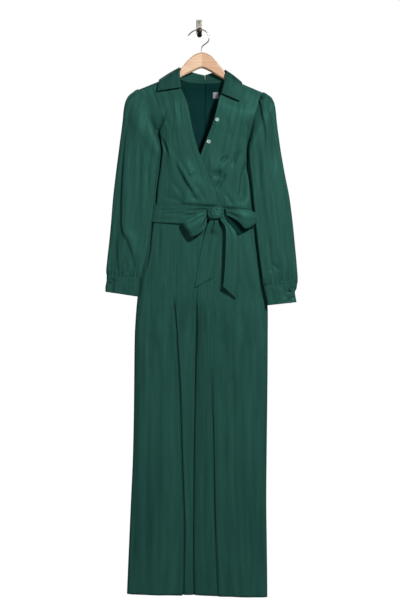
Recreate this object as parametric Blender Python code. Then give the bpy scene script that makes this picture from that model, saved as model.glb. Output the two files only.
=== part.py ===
"""A wrap-front jumpsuit that hangs nearly flat on a wooden hanger and a small wall hook.

Sizes are in millimetres until place() turns them into Blender's metres. X runs to the viewer's
right, Y towards the wall and Z up. The origin is the middle of the wall plate's back face.
"Right" and "left" are the wearer's, so the right side lies at -X.
"""

import math

import bmesh
import bpy
from mathutils import Vector

MM = 0.001
CLOTH = 1.2             # wall of one layer of cloth
SEAM = 0.3              # half of this lies on each side of a seam
OFFSET_X = 8.0          # the garment's middle line beside the wall plate's
MID_Y = -45.0           # the hanger's plane, where front and back meet at the sides
BOW = 5.0               # how far the hanger's ends curve forward
BOW_SPAN = 190.0
ROLL = 7.8              # radius of the cloth over the hanger's rounded edge
ROLL_OUT = 60.0         # height below the hanger over which the body fills out
FULLNESS = 2.6          # exponent of the body's flattened oval
WAIST = -540.0          # height of the waist seam at the middle
WAIST_TILT = 0.058      # the seam hangs lower at the wearer's left
CROTCH = -860.0
CROTCH_RISE = 95.0      # height over which the crotch seam curves in from the front
CENTRE_BACK = 8.0
LEG_END = -1598.0       # height at which the leg's shape ends, just below the hem
HEM = -1593.0           # height of the hem at the right side seam
HEM_TILT = 0.024
WRAP_LIFT = 3.0         # the over front's height over the under front
NECK_R = (-75.0, -142.0)
NECK_L = (78.0, -153.0)
SHOULDER_R = (-176.0, -184.0)
SHOULDER_L = (168.0, -192.0)
UNDERARM_R = (-126.0, -308.0)
UNDERARM_L = (136.0, -325.0)

# height, half width to the right, to the left, depth in front, depth behind
BODY = (
    (-100, 215, 208, 26, 21),
    (-183, 205, 200, 28, 22),
    (-240, 176, 178, 31, 21),
    (-283, 143, 150, 32, 20),
    (-308, 126, 141, 31, 19),
    (-325, 126, 136, 31, 19),
    (-360, 127.5, 137, 30, 18),
    (-450, 136, 143, 28, 18),
    (-500, 143, 147, 27, 18),
    (-540, 148, 150, 27, 18),
    (-600, 158, 158, 28, 20),
    (-690, 171, 172, 28, 22),
    (-780, 182, 183, 27, 22),
    (-870, 188, 184, 25, 20),
    (-1030, 190, 183, 23, 18),
    (-1200, 193, 181, 22, 17),
    (-1340, 199, 180, 22, 17),
    (-1500, 206, 182, 22, 17),
    (-1620, 211, 183, 22, 17),
)

# height and place of the edges of the bodice
ARMHOLE_R = ((-184, -176), (-210, -157), (-255, -146), (-285, -138), (-308, -126))
ARMHOLE_L = ((-192, 168), (-239, 152), (-283, 141.5), (-308, 138.5), (-325, 136))
EDGE_OVER = (
    (-142, -75), (-155, -72), (-169, -66), (-181, -59), (-188, -56), (-224, -42), (-274, -31),
    (-318, -21), (-365, -7), (-424, 17), (-465, 32), (-514, 53), (-544, 62),
)
EDGE_UNDER = (
    (-153, 78), (-166, 73), (-183, 64), (-199, 52), (-246, 40), (-286, 28), (-314, 17),
    (-365, -3), (-430, -24), (-485, -42), (-537, -56),
)
# the back neck: x, z from the neck point to the middle
NECKLINE_R = (
    (-75, -142), (-73.6, -142.9), (-71.6, -145.8), (-67, -151), (-55, -158.8), (-33, -163.2),
    (8, -165.5),
)
NECKLINE_L = (
    (78, -153), (76.6, -153.9), (74.4, -156.8), (69, -160), (57, -163), (38, -165), (8, -165.5),
)
# height and place of the seam between the legs
INSEAM = (
    (-500, -6), (-700, -11), (-860, -15), (-990, -19), (-1190, -22), (-1410, -24), (-1620, -23),
)

# the largest soft folds of the fronts: from x, z to x, z, depth, width
BODICE_FOLDS = (
    (-70, -375, -20, -484, 2.6, 9),
    (-101, -330, -87, -378, -1.6, 9),
    (-74, -200, -70, -300, -1.4, 8),
    (-100, -255, -124, -305, 2.4, 10),
    (128, -380, 104, -506, 2.6, 13),
    (72, -372, 50, -390, 1.6, 8),
    (102, -355, 82, -400, 1.8, 9),
)

# folds down the legs: x at the waist, x at the hem, depth, width, height where it fades in
LEG_FOLDS = (
    (-120, -172, 2.4, 14, -640),
    (-95, -120, -2.0, 18, -600),
    (-92, -88, 1.8, 12, -760),
    (62, 84, 2.0, 12, -700),
    (88, 122, -2.2, 20, -620),
    (112, 150, 2.4, 14, -660),
)

# the deep tuck of the right leg and the softer step of the left: height, place of the edge
TUCK_R = (
    (-600, -80), (-753, -76), (-868, -71), (-1019, -62), (-1193, -57), (-1414, -49), (-1620, -54),
)
STEP_L = ((-600, 18), (-857, 26), (-1053, 31), (-1193, 32), (-1389, 38), (-1620, 47))
# across the fold: way towards the inseam, share of the drop to the lower layer
TUCK_SHAPE = (
    (-16, 0.0), (-7, -0.10), (-2, -0.10), (0, 0.10), (-1.5, 0.36), (-5.5, 0.58), (-4, 0.88),
    (3, 1.0), (11, 1.0),
)
STEP_SHAPE = ((-14, 0.0), (-6, -0.2), (-2, -0.1), (0, 0.3), (2, 0.85), (6, 1.05), (13, 1.0))
TUCK_DROP = 0.36        # share of the depth that the lower layer lies further in
STEP_DROP = 0.17

# shares of the way down the armhole, the side seam and the leg
ARMHOLE_STEPS = (0, 0.006, 0.022, 0.05, 0.09, 0.16, 0.26, 0.38, 0.51, 0.65, 0.79, 0.91, 1)
SIDE_STEPS = (0.07, 0.17, 0.3, 0.45, 0.62, 0.78, 0.9, 1)
LEG_STEPS = (
    0, 0.05, 0.1, 0.15, 0.21, 0.26, 0.3019, 0.34, 0.4, 0.48, 0.57, 0.66, 0.75, 0.84, 0.93, 1,
)

# sleeve sections: outer x, z; inner x, z; outer y, inner y; bulge in front, behind
SLEEVE_R = (
    (-186, -188, -127.2, -315, -1, -7, 24, 15),
    (-200, -197, -125.2, -330, -2, -16, 25, 14),
    (-211, -211, -124, -347, -3, -24, 25, 13),
    (-218, -236, -123.5, -366, -4, -29, 25, 11),
    (-222, -275, -123.5, -392, -5, -31, 24, 9),
    (-229, -330, -127, -428, -6, -31, 22, 8),
    (-238, -400, -132, -485, -7, -31, 21, 8),
    (-248, -485, -138, -545, -8, -31, 20, 8),
    (-255, -570, -145, -605, -8, -31, 20, 8),
    (-261, -630, -153, -652, -9, -31, 20, 8),
    (-266, -675, -163, -687, -10, -31, 18, 8),
    (-265, -703, -172, -713, -11, -30, 13, 7),
)
SLEEVE_L = (
    (178, -196, 137.2, -332, -1, -7, 24, 15),
    (191, -204, 135.4, -347, -2, -16, 25, 14),
    (201, -217, 134, -363, -3, -24, 25, 13),
    (206, -243, 133.5, -382, -4, -29, 25, 11),
    (210, -283, 133, -408, -5, -31, 24, 9),
    (217, -335, 136.5, -440, -6, -31, 22, 8),
    (228, -405, 141.5, -492, -7, -31, 21, 8),
    (243, -480, 147, -551, -8, -31, 20, 8),
    (254, -565, 153.5, -611, -8, -31, 20, 8),
    (261, -640, 160, -665, -9, -31, 20, 8),
    (265.5, -690, 166, -705, -10, -31, 18, 8),
    (265, -727, 171, -734, -11, -30, 13, 7),
)
CUFF_R = (
    (-265, -703.6, -172, -713.6, -11, -30, 13, 7),
    (-266, -720, -173, -730, -11, -30, 13, 7),
    (-269, -735, -175, -748, -11, -30, 12, 7),
    (-270, -750, -177, -764, -11, -30, 11, 7),
)
CUFF_L = (
    (265, -727.6, 171, -734.6, -11, -30, 13, 7),
    (263, -742, 174, -752, -11, -30, 13, 7),
    (259, -752, 178, -768, -11, -30, 12, 7),
    (264, -779, 182, -788, -11, -30, 11, 7),
)
SLEEVE_ROWS = 15
# folds down a sleeve: share of the way round, depth, width as a share, fading in and out
SLEEVE_FOLDS = (
    (0.13, 2.6, 0.035, 0.10, 0.95),
    (0.22, -1.8, 0.04, 0.15, 0.9),
    (0.34, 2.2, 0.035, 0.3, 1.0),
    (0.62, 1.8, 0.05, 0.2, 1.0),
    (0.82, 1.8, 0.05, 0.2, 1.0),
)

# collar: side (1 behind, 0 on the shoulder, -1 in front), seam x, z, fold x, z, rise, edge x, z
COLLAR_R = (
    (1, 8, -165.5, 8, -142, -1.5, 8, -190),
    (1, -21, -164.3, -22, -135, -1.5, -30, -189),
    (1, -48, -160.7, -45, -127, -1, -72, -182),
    (1, -66, -152, -58, -123, 1, -102, -170),
    (0, -75, -142, -63, -121.5, 0, -119, -161.5),
    (-1, -72, -155, -63, -134, 6, -122, -172),
    (-1, -66, -169, -62, -157, 7, -124.5, -182),
    (-1, -59, -181, -59, -180.5, 5, -126, -190),
)
COLLAR_L = (
    (1, 8, -165.5, 8, -142, -1.5, 8, -190),
    (1, 24, -165.5, 22, -137, -1.5, 32, -190),
    (1, 50, -164, 45, -132, -1, 72, -186),
    (1, 68, -159, 60, -130, 1, 98, -177),
    (0, 78, -153, 66, -129, 0, 111, -168.5),
    (-1, 74, -166, 66, -143, 6, 114, -183),
    (-1, 65, -182, 62, -168, 7, 113, -199),
    (-1, 53, -198, 53.5, -197.5, 5, 105, -219),
)
COLLAR_LIFT = 3.4       # the fall over the bodice
COLLAR_EDGE_LIFT = 4.6
COLLAR_ROLL = 2.6       # width of the fold between stand and fall
COLLAR_SWELL = 1.6      # how far the fall bulges between fold and edge
COLLAR_IN = 0.9         # the stand's seam lies this far inside the bodice's edge
COLLAR_IN_FRONT = 1.1   # and this much more in front

SASH_HALF = 24.0        # half of the sash's height at the sides
SASH_LIFT_SIDE = 2.6
SASH_LIFT = 5.2         # over the wrapped fronts
SASH_GATHERED = 15.0    # half height where it runs into the knot
SASH_RISE = 6.0         # the sash's middle above the waist seam
KNOT = (36.0, -528.0)
KNOT_SIZE = (21.5, 9.5, 17.5)
# the bow's loops: way along, upper x, z, lower x, z, height of the front layer over the sash
LOOP_R = (
    (11, -518, 13, -544, 3.4),
    (2, -523, 10, -562, 6.5),
    (-18, -534, 2, -583, 10.5),
    (-40, -549, -12, -597, 10.0),
    (-56, -559, -26, -604, 7.0),
)
LOOP_L = (
    (59, -516, 60, -537, 3.4),
    (72, -518, 72, -549, 6.5),
    (92, -520, 90, -569, 10.0),
    (117, -525, 106, -573, 8.5),
    (134, -531, 126, -566, 5.5),
)
LOOP_BACK = 0.5         # the back layer over the sash
# the tails: left x, z, right x, z, height over the trousers
TAIL_R = (
    (23, -545.4, 40, -546.4, 12.6),
    (12, -570, 44.5, -570, 12.2),
    (5, -598, 45.5, -598, 8.5),
    (-5, -640, 43, -632, 4.5),
    (-14, -692, 37, -668, 2.0),
    (-20, -739, 28, -714, 1.2),
)
TAIL_L = (
    (44, -546.2, 54, -543.6, 11),
    (55, -570, 75, -572, 8.5),
    (58, -600, 93, -600, 5.5),
    (56, -648, 96, -655, 2.4),
    (54.5, -695, 95.5, -710, 1.0),
    (53, -734, 92, -766, 0.6),
)

HANGER_HALF = 6.0
# the wooden hanger: x, top, bottom
HANGER = (
    (-173, -186, -203), (-165, -181.2, -204), (-140, -170.8, -192), (-110, -158.4, -176),
    (-84, -147.6, -164), (-72, -142.7, -158), (-66, -137.5, -154.5), (-60, -127, -151),
    (-50, -113, -145), (-38, -99.5, -139.5), (-24, -87.5, -133), (-9, -80.6, -126),
    (0, -79.8, -124.5), (9, -80.8, -127), (24, -88.5, -134.5), (36, -100, -142),
    (50, -117, -149.5), (62, -131.5, -157), (67, -144.5, -160), (73, -152.8, -163.5),
    (88, -159.3, -172), (110, -168.8, -184), (140, -181.7, -199), (158, -189.4, -209),
    (165, -193.4, -208),
)
WIRE_RADIUS = 1.7
# the steel hook: x, z
WIRE_PATH = (
    (-1, -79.5), (-1, -70), (1, -62.5), (9, -56), (17, -49), (19.6, -40), (17.5, -30), (11.5, -21.5),
    (2, -16.4), (-7, -15.4), (-17, -16.8), (-27, -21.5), (-35, -28), (-38.5, -33),
)
PLATE = (17.0, 4.0, 40.0)
PEG_FLARE = 2.0         # the peg's foot, wider and this long
PEG_RADIUS = 5.2
PEG_X = 1.0
PEG_Z = -22.7
PEG_REACH = 60.0
BALL_RADIUS = 8.0

SATIN = ("satin", (0.021, 0.085, 0.065), 0.42, 0.0)
SATIN_TRIM = ("satin_trim", (0.024, 0.093, 0.071), 0.42, 0.0)
WOOD = ("pale_wood", (0.74, 0.52, 0.34), 0.45, 0.0)
STEEL = ("steel_wire", (0.55, 0.54, 0.52), 0.28, 1.0)
BRONZE = ("grey_metal", (0.30, 0.28, 0.25), 0.4, 1.0)
PEARL = ("button", (0.40, 0.58, 0.50), 0.25, 0.0)
LABEL_CLOTH = ("label_cloth", (0.22, 0.22, 0.27), 0.7, 0.0)


# ---------------------------------------------------------------- curves and the body's form


def smoothstep(t):
    """An even rise from 0 to 1 with flat ends."""
    t = min(max(t, 0.0), 1.0)
    return t * t * (3.0 - 2.0 * t)


def blend(a, b, t):
    return a + (b - a) * t


def at(table, key):
    """Read a table whose first column falls, along a smooth curve through its rows."""
    last = len(table) - 2
    low = next((k for k in range(last + 1) if table[k + 1][0] <= key), last)
    a, b = table[low], table[low + 1]
    before = table[low - 1] if low > 0 else a
    after = table[low + 2] if low < last else b
    span = b[0] - a[0]
    t = min(max((key - a[0]) / span, 0.0), 1.0)
    values = []
    for c in range(1, len(a)):
        slope_a = (b[c] - before[c]) / (b[0] - before[0]) * span
        slope_b = (after[c] - a[c]) / (after[0] - a[0]) * span
        h = t * t * (3 - 2 * t)
        values.append(
            a[c] * (1 - h) + b[c] * h
            + slope_a * t * (1 - t) ** 2 - slope_b * t * t * (1 - t)
        )
    return values


def resample(rows, count):
    """Count rows along the smooth curve through the rows of a table."""
    table = [(-k, *row) for k, row in enumerate(rows)]
    return [at(table, -k * (len(rows) - 1) / (count - 1)) for k in range(count)]


def mid(x):
    """The plane of the hanger and the side seams, which bows forward at the ends."""
    return MID_Y - BOW * (x / BOW_SPAN) ** 2


def shoulder_height(x):
    """Top of the cloth over the hanger; between the neck points the two slopes are blended."""
    right_slope = (NECK_R[1] - SHOULDER_R[1]) / (NECK_R[0] - SHOULDER_R[0])
    left_slope = (NECK_L[1] - SHOULDER_L[1]) / (NECK_L[0] - SHOULDER_L[0])
    right = NECK_R[1] + (x - NECK_R[0]) * right_slope
    left = NECK_L[1] + (x - NECK_L[0]) * left_slope
    return blend(right, left, smoothstep((x - NECK_R[0]) / (NECK_L[0] - NECK_R[0])))


def oval(u):
    """Share of the full depth at a share of the way from the middle to the side."""
    return (1.0 - min(abs(u), 1.0) ** FULLNESS) ** (1.0 / FULLNESS)


def soft_fold(x, z, row):
    """Depth of one fold that runs from x0, z0 to x1, z1."""
    x0, z0, x1, z1, depth, width = row
    along = ((x - x0) * (x1 - x0) + (z - z0) * (z1 - z0)) / ((x1 - x0) ** 2 + (z1 - z0) ** 2)
    near = min(max(along, 0.0), 1.0)
    away = math.hypot(x - blend(x0, x1, near), z - blend(z0, z1, near))
    return depth * math.exp(-((away / width) ** 2))


def front_folds(x, z):
    """Sum of the folds at a place: the bodice's, or those of the legs below the waist."""
    if z > WAIST + 20:
        return sum(soft_fold(x, z, row) for row in BODICE_FOLDS)
    total = 0.0
    for top, hem, depth, width, fade in LEG_FOLDS:
        middle = blend(top, hem, (WAIST - z) / (WAIST - LEG_END))
        total += depth * math.exp(-(((x - middle) / width) ** 2)) * smoothstep((fade - z) / 200.0)
    return total


def depth(x, z, face):
    """How far the cloth lies from the middle plane, and the share of the body's oval there."""
    right, left, front, back = at(BODY, z)
    deep = front if face < 0 else back
    hip = oval(x / (right if x < 0 else left))
    fold = front_folds(x, z) * (1.0 if face < 0 else 0.7) * hip
    inner = at(INSEAM, z)[0]
    outer = -right if x < inner else left
    leg = oval((x - (inner + outer) / 2) / ((outer - inner) / 2))
    parted = smoothstep((CROTCH + CROTCH_RISE - z) / CROTCH_RISE)
    share = blend(hip, leg, parted)
    return deep * share - fold * share, hip


def shell(x, z, lift, face):
    """A point of the body's outer face, moved out by lift; face is -1 in front, 1 behind."""
    out, share = depth(x, z, face)
    top = shoulder_height(x)
    fall = top - z
    if fall < ROLL:
        turn = math.acos(min(max(1.0 - fall / ROLL, -1.0), 1.0))
        radius = ROLL + lift
        return (x, mid(x) + face * radius * math.sin(turn), top - ROLL + radius * math.cos(turn))
    filled = smoothstep((fall - ROLL) / ROLL_OUT)
    y = blend(ROLL + lift, out + lift * share, filled)
    sideways = lift * x / (at(BODY, z)[0] if x < 0 else at(BODY, z)[1]) * filled
    return (x + sideways, mid(x) + face * y, z)


def waist_height(x):
    return WAIST - WAIST_TILT * x


def hem_height(x):
    return HEM - HEM_TILT * (x + 210.0)


# ---------------------------------------------------------------- Blender objects


def place(point):
    """From the garment's millimetres to the frame's metres."""
    return Vector(((point[0] + OFFSET_X) * MM, point[1] * MM, point[2] * MM))


def material(finish):
    name, colour, roughness, metallic = finish
    found = bpy.data.materials.get(name)
    if found:
        return found
    made = bpy.data.materials.new(name)
    made.use_nodes = True
    shader = made.node_tree.nodes["Principled BSDF"]
    shader.inputs["Base Color"].default_value = (*colour, 1.0)
    shader.inputs["Roughness"].default_value = roughness
    shader.inputs["Metallic"].default_value = metallic
    made.diffuse_color = (*colour, 1.0)
    return made


def add_object(name, bm, finish, sharp=40.0):
    mesh = bpy.data.meshes.new(name)
    bm.to_mesh(mesh)
    bm.free()
    mesh.shade_smooth()
    mesh.set_sharp_from_angle(angle=math.radians(sharp))
    mesh.materials.append(material(finish))
    made = bpy.data.objects.new(name, mesh)
    bpy.context.scene.collection.objects.link(made)
    return made


def wall_normals(bm, verts, locks):
    """Which way each point's wall grows; a locked border keeps its points' X, Y or Z."""
    bm.normal_update()
    looks = [[v.normal.copy() for v in row] for row in verts]
    borders = {
        "top": [(0, k) for k in range(len(verts[0]))],
        "bottom": [(-1, k) for k in range(len(verts[0]))],
        "first": [(r, 0) for r in range(len(verts))],
        "last": [(r, -1) for r in range(len(verts))],
    }
    for border, axis in locks.items():
        for n, (r, k) in enumerate(borders[border]):
            looks[r][k][axis if isinstance(axis, int) else axis[n]] = 0.0
            looks[r][k].normalize()
    return looks


def cloth(name, grid, out, closed=False, thickness=CLOTH, finish=SATIN, inner=None, locks=None):
    """A wall of cloth: grid holds the rows of its outer face, seen from the side named out.

    closed joins the last column to the first. out is the way the middle face looks, or None
    where it looks away from the middle of its row. inner may give the rows of the inner face, or
    some of them; the others lie one wall's thickness below the outer face.
    """
    bm = bmesh.new()
    verts = [[bm.verts.new(place(point)) for point in row] for row in grid]
    columns = len(grid[0])
    across = columns if closed else columns - 1
    quads = []
    for upper, lower in zip(verts, verts[1:]):
        for k in range(across):
            n = (k + 1) % columns
            quads.append((upper[k], upper[n], lower[n], lower[k]))
    faces = [bm.faces.new(quad) for quad in quads]
    bm.normal_update()
    look = faces[(len(grid) // 2 - 1) * across + across // 2]
    if out is None:
        row = verts[len(grid) // 2]
        middle = sum((v.co for v in row), Vector()) / len(row)
        out = look.calc_center_median() - middle
    outward = look.normal.dot(Vector(out)) > 0
    if not outward:
        bmesh.ops.reverse_faces(bm, faces=faces)
    looks = wall_normals(bm, verts, locks or {})
    under = {}
    for r, row in enumerate(verts):
        for k, v in enumerate(row):
            given = inner[r] if inner else None
            co = place(given[k]) if given else v.co - looks[r][k] * thickness * MM
            under[v] = bm.verts.new(co)
    for face in faces:
        bm.faces.new([under[v] for v in reversed(face.verts)])
    for edge in [e for e in bm.edges if len(e.link_faces) == 1 and e.verts[0] in under]:
        loop = edge.link_loops[0]
        a, b = loop.vert, loop.link_loop_next.vert
        bm.faces.new((b, a, under[a], under[b]))
    return add_object(name, bm, finish)


# ---------------------------------------------------------------- bodice


def armhole_row(side, step):
    """Height and place of the armhole's edge a share of the way down from the shoulder."""
    if side == "right":
        top, low, table = SHOULDER_R, UNDERARM_R, ARMHOLE_R
    else:
        top, low, table = SHOULDER_L, UNDERARM_L, ARMHOLE_L
    z = blend(top[1], low[1], step)
    return at(table, z)[0], z


def side_edge(side):
    """The outer edge of the bodice panels: down the armhole, then down the side seam."""
    sign = -1 if side == "right" else 1
    edge = [armhole_row(side, step) for step in ARMHOLE_STEPS]
    _, underarm = edge[-1]
    column = 0 if side == "right" else 1
    low = waist_height(sign * at(BODY, WAIST)[column])
    for step in SIDE_STEPS:
        z = blend(underarm, low, step)
        edge.append((sign * at(BODY, z)[column], z))
    return edge


def patch(top, bottom, outer, inner):
    """Fill four edges of x, z points; outer and inner have one point a row."""
    drop = outer[0][1] - outer[-1][1]
    grid = []
    for (ox, oz), (ix, iz) in zip(outer, inner):
        v = (outer[0][1] - oz) / drop
        row = []
        for k, (tx, tz) in enumerate(top):
            u = k / (len(top) - 1)
            bx, bz = bottom[k]
            share = columns_share(u)
            x = blend(ox, ix, share) + (1 - v) * (tx - blend(top[0][0], top[-1][0], share))
            z = blend(oz, iz, share) + (1 - v) * (tz - blend(top[0][1], top[-1][1], share))
            x += v * (bx - blend(bottom[0][0], bottom[-1][0], share))
            z += v * (bz - blend(bottom[0][1], bottom[-1][1], share))
            row.append((x, z))
        grid.append(row)
    return grid


def columns_share(u):
    """Columns crowd near the side, where the cloth turns."""
    return 1.0 - math.cos(u * math.pi / 2)


def wrap_lift(x, z):
    """The over front rides over the under front where they cross."""
    return WRAP_LIFT * smoothstep((x + 125.0) / 65.0) * smoothstep((-240.0 - z) / 80.0)


def front_panel(name, side, edge, lift):
    """One front: from its armhole and side seam to the crossing edge that runs to the waist."""
    outer = side_edge(side)
    top_z = edge[0][0]
    inner_drop = top_z - edge[-1][0]
    outer_drop = outer[0][1] - outer[-1][1]
    inner = []
    for _, z in outer:
        v = (outer[0][1] - z) / outer_drop
        even = top_z - v * outer_drop
        inner_z = blend(even, top_z - v * inner_drop, smoothstep(v * 2.5))
        inner.append((at(edge, inner_z)[0], inner_z))
    columns = 14
    shares = [columns_share(k / columns) for k in range(columns + 1)]
    top = [(blend(outer[0][0], inner[0][0], s), blend(outer[0][1], inner[0][1], s)) for s in shares]
    low = [blend(outer[-1][0], inner[-1][0], s) for s in shares]
    bottom = [(x, waist_height(x)) for x in low]
    grid = patch(top, bottom, outer, inner)
    points, under = (
        [[seam_side(shell(x, z, lift(x, z) - wall, -1), -1) for x, z in row] for row in grid]
        for wall in (0.0, CLOTH)
    )
    cloth(name, points, (0, -1, 0), inner=under)


def seam_side(point, face):
    """Keep half a seam's gap to the middle plane, where front and back meet."""
    x, y, z = point
    gap = face * (y - mid(x))
    return (x, mid(x) + face * max(gap, SEAM / 2), z)


def back_panel(name, side):
    """One back: shoulder and half of the neck on top, centre-back seam at the inner side."""
    sign = -1 if side == "right" else 1
    neck = NECKLINE_R if side == "right" else NECKLINE_L
    outer = side_edge(side)
    centre = CENTRE_BACK + sign * SEAM / 2
    columns = 13
    on_shoulder = 7
    shares = [columns_share(k / columns) for k in range(columns + 1)]
    top = []
    for k, share in enumerate(shares):
        if k <= on_shoulder:
            t = share / shares[on_shoulder]
            top.append((blend(outer[0][0], neck[0][0], t), blend(outer[0][1], neck[0][1], t)))
        else:
            top.append(neck[k - on_shoulder])
    top[-1] = (centre, top[-1][1])
    drop = outer[0][1] - outer[-1][1]
    inner = []
    for _, z in outer:
        v = (outer[0][1] - z) / drop
        inner.append((centre, blend(neck[-1][1], waist_height(centre), v)))
    low = [blend(outer[-1][0], centre, s) for s in shares]
    bottom = [(x, waist_height(x)) for x in low]
    grid = patch(top, bottom, outer, inner)
    points, under = (
        [[seam_side(shell(x, z, -wall, 1), 1) for x, z in row] for row in grid]
        for wall in (0.0, CLOTH)
    )
    cloth(name, points, (0, 1, 0), inner=under)


# ---------------------------------------------------------------- collar


def clear_of_body(point, lift):
    """Push a point out of the bodice's outer face, by lift."""
    x, y, z = point
    top = shoulder_height(x)
    across = y - mid(x)
    if z > top - ROLL:
        rise = z - (top - ROLL)
        away = math.hypot(across, rise)
        grow = max(1.0, (ROLL + lift) / away)
        return (x, mid(x) + across * grow, top - ROLL + rise * grow)
    face = -1 if across < 0 else 1
    limit = abs(shell(x, z, lift, face)[1] - mid(x))
    return (x, mid(x) + face * max(abs(across), limit), z)


def collar(name, table, sign):
    """Stand and fall in one sheet: rows run from the neck seam, over the fold, to the edge."""
    sections = []
    for station in resample(table, 13):
        face, seam_x, seam_z, fold_x, fold_z, rise, edge_x, edge_z = station
        toward = -1 if face < 0 else 1
        seam_y = toward * abs(shell(seam_x, seam_z, -CLOTH / 4, toward)[1] - mid(seam_x))
        fold_y = seam_y + face * rise
        inward = -sign * (COLLAR_IN + COLLAR_IN_FRONT * max(-face, 0.0))
        seam = (seam_x + inward, mid(seam_x) + seam_y, seam_z + 2 * SEAM)
        turn = COLLAR_ROLL
        fold_in = (fold_x + inward * 0.6, mid(fold_x) + fold_y, fold_z - 1.5)
        fold = (fold_x + sign * turn / 2, mid(fold_x) + fold_y + face * turn / 2, fold_z + 0.6)
        fold_out = (fold_x + sign * turn, mid(fold_x) + fold_y + face * turn, fold_z - 1.0)
        edge = clear_of_body((edge_x, mid(edge_x) + face * 8.0, edge_z), COLLAR_EDGE_LIFT)
        row = [seam, blend_points(seam, fold_in, 0.55), fold_in, fold]
        for step in (0.0, 0.25, 0.5, 0.75, 1.0):
            point = blend_points(fold_out, edge, step)
            swell = COLLAR_SWELL * math.sin(math.pi * step)
            point = (point[0], point[1] + face * swell, point[2] + (1 - abs(face)) * swell)
            row.append(clear_of_body(point, COLLAR_LIFT))
        sections.append(row)
    sections[0] = [(CENTRE_BACK + sign * SEAM / 2, y, z) for _, y, z in sections[0]]
    cloth(name, sections, collar_look(sections), locks={"top": 0})


def collar_look(sections):
    """The fall's upper face looks away from the neck's middle."""
    row = sections[len(sections) // 2]
    point = row[len(row) // 2]
    return (point[0], point[1] - MID_Y, 60.0)


def blend_points(a, b, t):
    return tuple(blend(p, q, t) for p, q in zip(a, b))


# ---------------------------------------------------------------- sleeves


def sleeve_point(row, share, fold_scale=0.0, along=0.0):
    """A point round a sleeve's section: share 0 outside, 0.5 inside, front first."""
    out_x, out_z, in_x, in_z, out_y, in_y, front, behind = row
    turn = share * 2 * math.pi
    c, s = math.cos(turn), math.sin(turn)
    swell = abs(s) ** 0.8 * (-front if s > 0 else behind)
    if fold_scale:
        for middle, deep, width, start, stop in SLEEVE_FOLDS:
            fade = smoothstep((along - start) / 0.2) * smoothstep((stop - along) / 0.1 + 0.5)
            dent = deep * fade * math.exp(-(((share - middle) / width) ** 2))
            swell += dent if s > 0 else -dent
    x = blend(out_x, in_x, (1 - c) / 2)
    z = blend(out_z, in_z, (1 - c) / 2)
    y = mid(x) + blend(out_y, in_y, (1 - c) / 2) + swell
    return (x, y, z)


def armhole_ring(side, lift):
    """The sleeve's own edge round the armhole, a seam's gap outside the bodice's."""
    sign = -1 if side == "right" else 1
    front, back = [], []
    for step in ARMHOLE_STEPS:
        x, z = armhole_row(side, step)
        front.append(shell(x, z, lift, -1))
        back.append(shell(x, z, lift, 1))
    ring = front + back[-2:0:-1]
    return [(x + sign * 1.3 * SEAM, y, z) for x, y, z in ring]


def sleeve(name, side, table):
    """A tube from the armhole, whose shape it keeps at first, to the gathered wrist."""
    ring = armhole_ring(side, 0.0)
    count = len(ring)
    half = count // 2
    shares = [k / count for k in range(count)]
    grid = [ring]
    rows = resample(table, SLEEVE_ROWS)
    joins = (0.42, 0.75, 0.93)
    for k, row in enumerate(rows):
        along = k / (SLEEVE_ROWS - 1)
        own = [sleeve_point(row, share, 1.0, along) for share in shares]
        if k < len(joins):
            out_x, out_z, in_x, in_z = row[:4]
            moved = []
            for (x, y, z), share in zip(ring, shares):
                w = (1 - math.cos(share * 2 * math.pi)) / 2
                dx = blend(out_x - ring[0][0], in_x - ring[half][0], w)
                dz = blend(out_z - ring[0][2], in_z - ring[half][2], w)
                moved.append((x + dx, y + blend(row[4], row[5], w), z + dz))
            own = [blend_points(a, b, joins[k]) for a, b in zip(moved, own)]
        grid.append(own)
    under = [armhole_ring(side, -CLOTH)] + [None] * SLEEVE_ROWS
    cloth(name, grid, None, closed=True, inner=under, locks={"bottom": 2})


def cuff(name, table):
    """A short band of two layers, below the sleeve by a seam's gap."""
    count = 22
    grid = [[sleeve_point(row, k / count) for k in range(count)] for row in resample(table, 4)]
    cloth(name, grid, None, closed=True, thickness=1.8, finish=SATIN_TRIM,
          locks={"top": 2, "bottom": 2})


# ---------------------------------------------------------------- trousers


def leg_columns(side, z, shape, fold_x, drop, strength, front):
    """Places across a leg panel from the side seam to the inseam, with the share of the drop."""
    sign = -1 if side == "right" else 1
    outer = sign * at(BODY, z)[0 if side == "right" else 1]
    inner = at(INSEAM, z)[0] + sign * SEAM / 2
    towards = -sign
    if not front:
        count = 10
        places = []
        for k in range(count + 1):
            u = (1 - math.cos(math.pi * k / count)) / 2
            places.append((blend(outer, inner, u), 0.0))
        return places
    first = fold_x + towards * shape[0][0]
    places = []
    before = 8
    for k in range(before):
        u = 1 - math.cos(math.pi / 2 * k / before)
        places.append((blend(outer, first, u), 0.0))
    width = shape[-1][0] - shape[0][0]
    for k, (way, level) in enumerate(shape):
        plain = shape[0][0] + width * k / (len(shape) - 1)
        x = fold_x + towards * blend(plain, way, strength)
        places.append((x, level * drop * strength))
    last = fold_x + towards * shape[-1][0]
    for u in (0.45, 0.8, 0.95, 1.0):
        places.append((blend(last, inner, u), drop * strength))
    return places


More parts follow.
